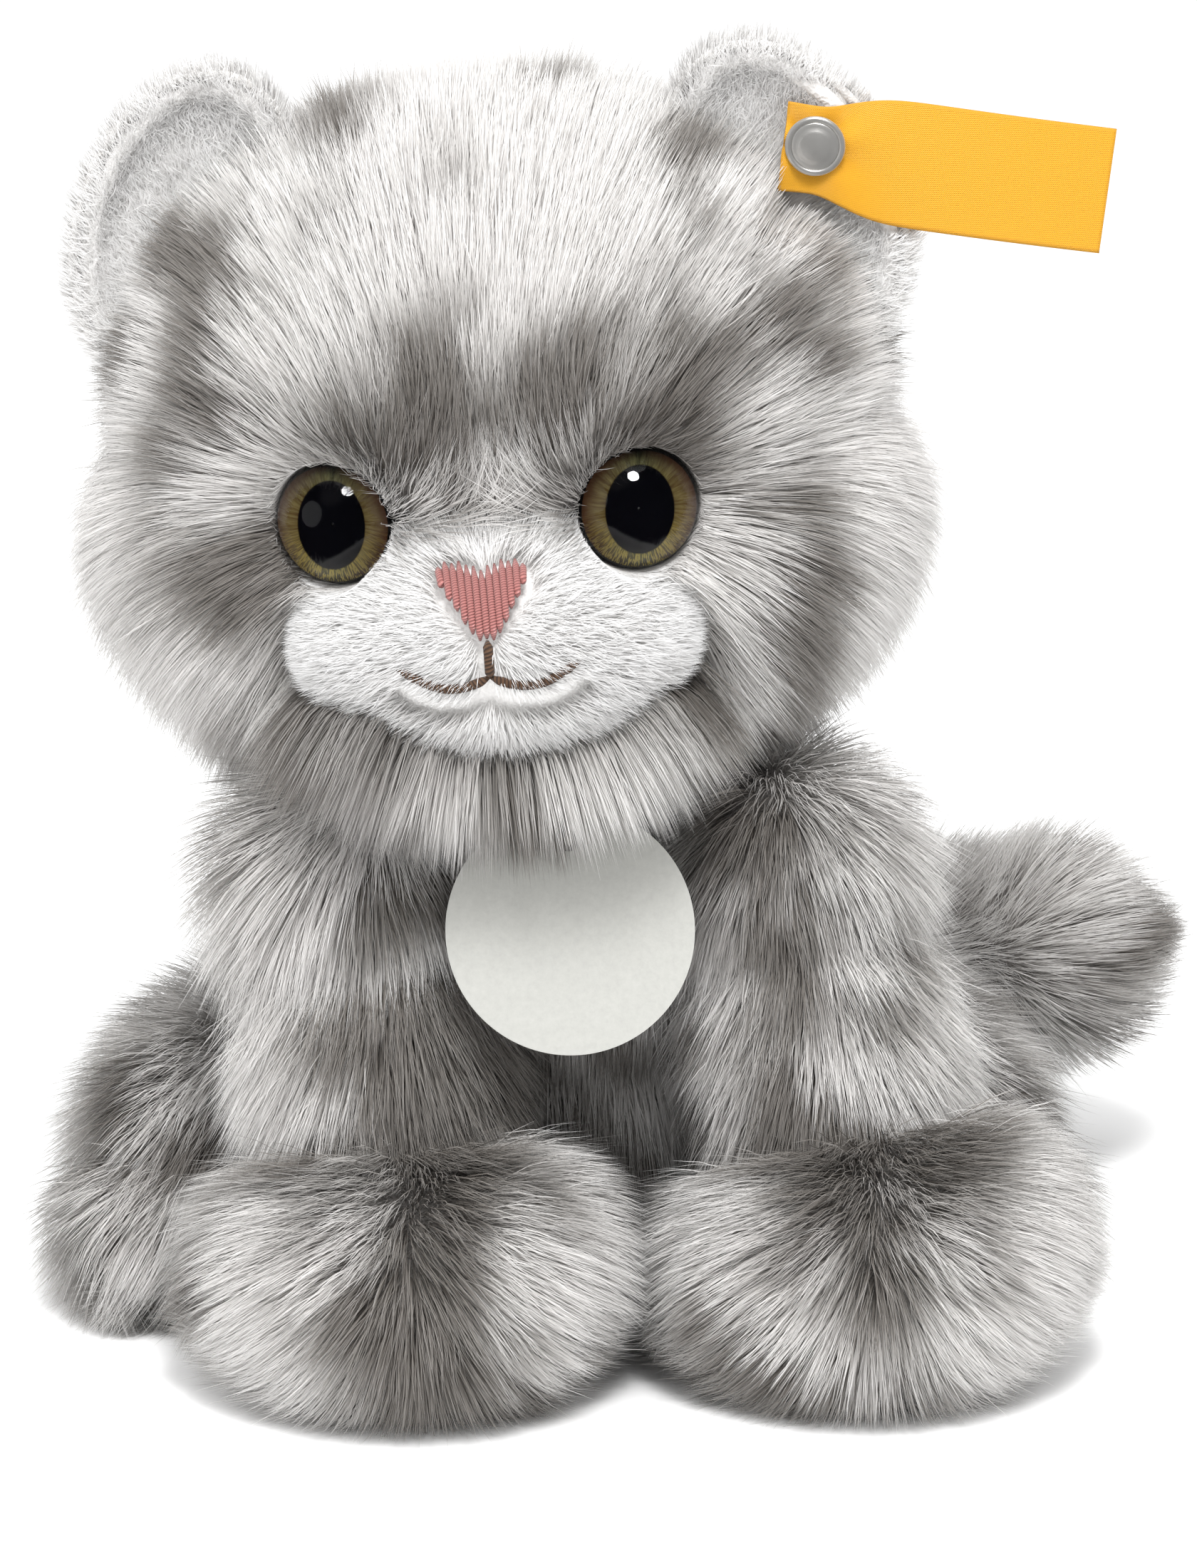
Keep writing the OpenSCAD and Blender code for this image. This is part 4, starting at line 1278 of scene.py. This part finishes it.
pink = thread_material("pink_thread", (0.46, 0.185, 0.17), (0.22, 0.07, 0.066))
brown = thread_material("brown_thread", (0.10, 0.050, 0.024), (0.020, 0.009, 0.005), 1.1, 0.8)
add_piece(nose_threads(), "head", pink, "pink_thread", "nose_embroidery")
add_piece(mouth_threads(), "head", brown, "brown_thread", "mouth_embroidery")


# ---------------------------------------------------------------- button, ribbon and tag


def button():
    """A pressed cap with a rolled rim and a shallow ring in its dome, on its rivet's shaft."""
    radius, low, high = BUTTON_RADIUS, BUTTON_BASE, button_depth.max()
    shaft, foot = button_far[button_depth < low - 1].max(), button_depth.min()
    rim = high - 0.45 * (high - low)
    profile = [(0.01, foot), (shaft, foot), (shaft, low), (radius * 0.94, low + 0.2 * (rim - low))]
    for a in np.linspace(-60, 150, 9):
        roll = math.radians(a)
        profile.append((radius - 0.45 + 0.45 * math.cos(roll), rim - 0.1 + 0.4 * math.sin(roll)))
    for r in np.linspace(0.82, 0.002, 12):
        ring = 0.10 * math.exp(-(((r - 0.62) / 0.05) ** 2))
        profile.append((radius * r, rim - 0.15 + (high - rim + 0.1) * (1 - r * r) - ring))
    return lathe_mesh("ear_button_cap", profile, BUTTON_AT, BUTTON_AXIS)


def ribbon():
    """The ribbon that the button holds, bowed a little and creased where it is clamped."""
    centre, along, across, normal, half_length, half_width = RIBBON
    rows, columns = 75, 32
    u = np.linspace(-1, 1, rows)[:, None]
    v = np.linspace(-1, 1, columns)[None, :]
    pin = (BUTTON_AT - centre) @ along / half_length
    pin_v = (BUTTON_AT - centre) @ across / half_width
    near = np.exp(-((np.maximum(u - pin, 0) * half_length / 6) ** 2))
    angle = np.arctan2((v - pin_v) * half_width, (u - pin) * half_length + 0.5)
    crease = 0.45 * near * np.sin(angle * 5)
    bow = 0.6 * np.sin((u + 0.3) * 2.2) * (1 - near) + 0.35 * u * v
    drawn_in = (v - pin_v) * (1 - 0.3 * near) + pin_v
    points = (
        centre
        + (u * half_length + 0 * v)[..., None] * along
        + (drawn_in * half_width)[..., None] * across
        + (crease + bow)[..., None] * normal
    )
    return grid_mesh("ear_ribbon", points), (2 * half_length * MM, 2 * half_width * MM)


nickel = nickel_material()
add_piece(button(), "ear_left", nickel, "nickel", "ear_button")
ribbon_cloth, ribbon_size = ribbon()
flag = add_piece(ribbon_cloth, "flag", ribbon_material(), "yellow_ribbon", "ear_flag")
flag_body = flag.modifiers.new("cloth", "SOLIDIFY")
flag_body.thickness = 0.35 * MM


# ---------------------------------------------------------------- carried-over CAD nodes

black_plastic = plastic_material("washer_plastic", (0.03, 0.03, 0.032), 0.4)
eye_plastic = plastic_material("eye_back_plastic", (0.012, 0.012, 0.013), 0.25)
carried = {
    "chest_tag": card_material(),
    "tag_thread": thread_material("tag_cord", (0.75, 0.73, 0.68), (0.5, 0.48, 0.44)),
    "closing_stitches": thread_material("closing_thread", grey(0.35), grey(0.2)),
    "ear_button_washer": nickel,
}
for side in ("left", "right"):
    carried["eye_back_" + side] = eye_plastic
    carried["eye_washer_" + side] = black_plastic
    carried["ear_seam_" + side] = grey_cloth
for node, material in carried.items():
    NODES[node].data.materials.clear()
    NODES[node].data.materials.append(material)


# ---------------------------------------------------------------- floor, light and camera


def floor():
    """A plain pale floor."""
    size = 12.0
    corners = [(-size, -size, 0), (size, -size, 0), (size, size, 0), (-size, size, 0)]
    mesh = bpy.data.meshes.new("floor")
    mesh.from_pydata(corners, [], [(0, 1, 2, 3)])
    mesh.materials.append(shader("floor_white", (0.93, 0.93, 0.93), Roughness=0.9)[0])
    obj = bpy.data.objects.new("floor", mesh)
    obj.visible_glossy = False
    bpy.context.scene.collection.objects.link(obj)


def lamp(name, azimuth, elevation, distance, size, watts, mirrored=True):
    """A soft round lamp on a sphere round the kitten, shining at its middle."""
    back = bearing(azimuth, elevation)
    data = bpy.data.lights.new(name, "AREA")
    data.shape, data.size, data.energy = "DISK", size, watts
    obj = bpy.data.objects.new(name, data)
    obj.location = Vector(LOOK_AT) * MM + back * distance
    obj.rotation_euler = (-back).to_track_quat("-Z", "Y").to_euler()
    obj.visible_glossy = mirrored
    bpy.context.scene.collection.objects.link(obj)


def studio():
    """White surroundings, a large key from the upper left, and the lamp that the eyes reflect."""
    world = bpy.data.worlds.new("studio")
    bpy.context.scene.world = world
    world.use_nodes = True
    background = world.node_tree.nodes["Background"]
    background.inputs["Color"].default_value = (1, 1, 1, 1)
    background.inputs["Strength"].default_value = 1.0
    world.cycles_visibility.glossy = False
    lamp("key", -35, 48, 1.4, 0.9, 5, mirrored=False)
    lamp("top", 10, 80, 1.3, 0.9, 2)
    lamp("side", -62, 12, 1.2, 0.8, 0.8)
    lamp("catchlight", 2, 56, 1.2, 0.36, 13)
    bpy.context.scene.view_settings.view_transform = "Standard"


def camera():
    """The camera, at the distance and height that frame the whole kitten."""
    data = bpy.data.cameras.new("camera")
    data.sensor_width = 36
    data.lens = data.sensor_width * DISTANCE / VIEW_HEIGHT
    data.clip_start = 0.05
    obj = bpy.data.objects.new("camera", data)
    back = bearing(AZIMUTH, ELEVATION)
    obj.location = (Vector(LOOK_AT) + back * DISTANCE) * MM
    obj.rotation_euler = (-back).to_track_quat("-Z", "Y").to_euler()
    bpy.context.scene.collection.objects.link(obj)
    bpy.context.scene.camera = obj


floor()
studio()
camera()
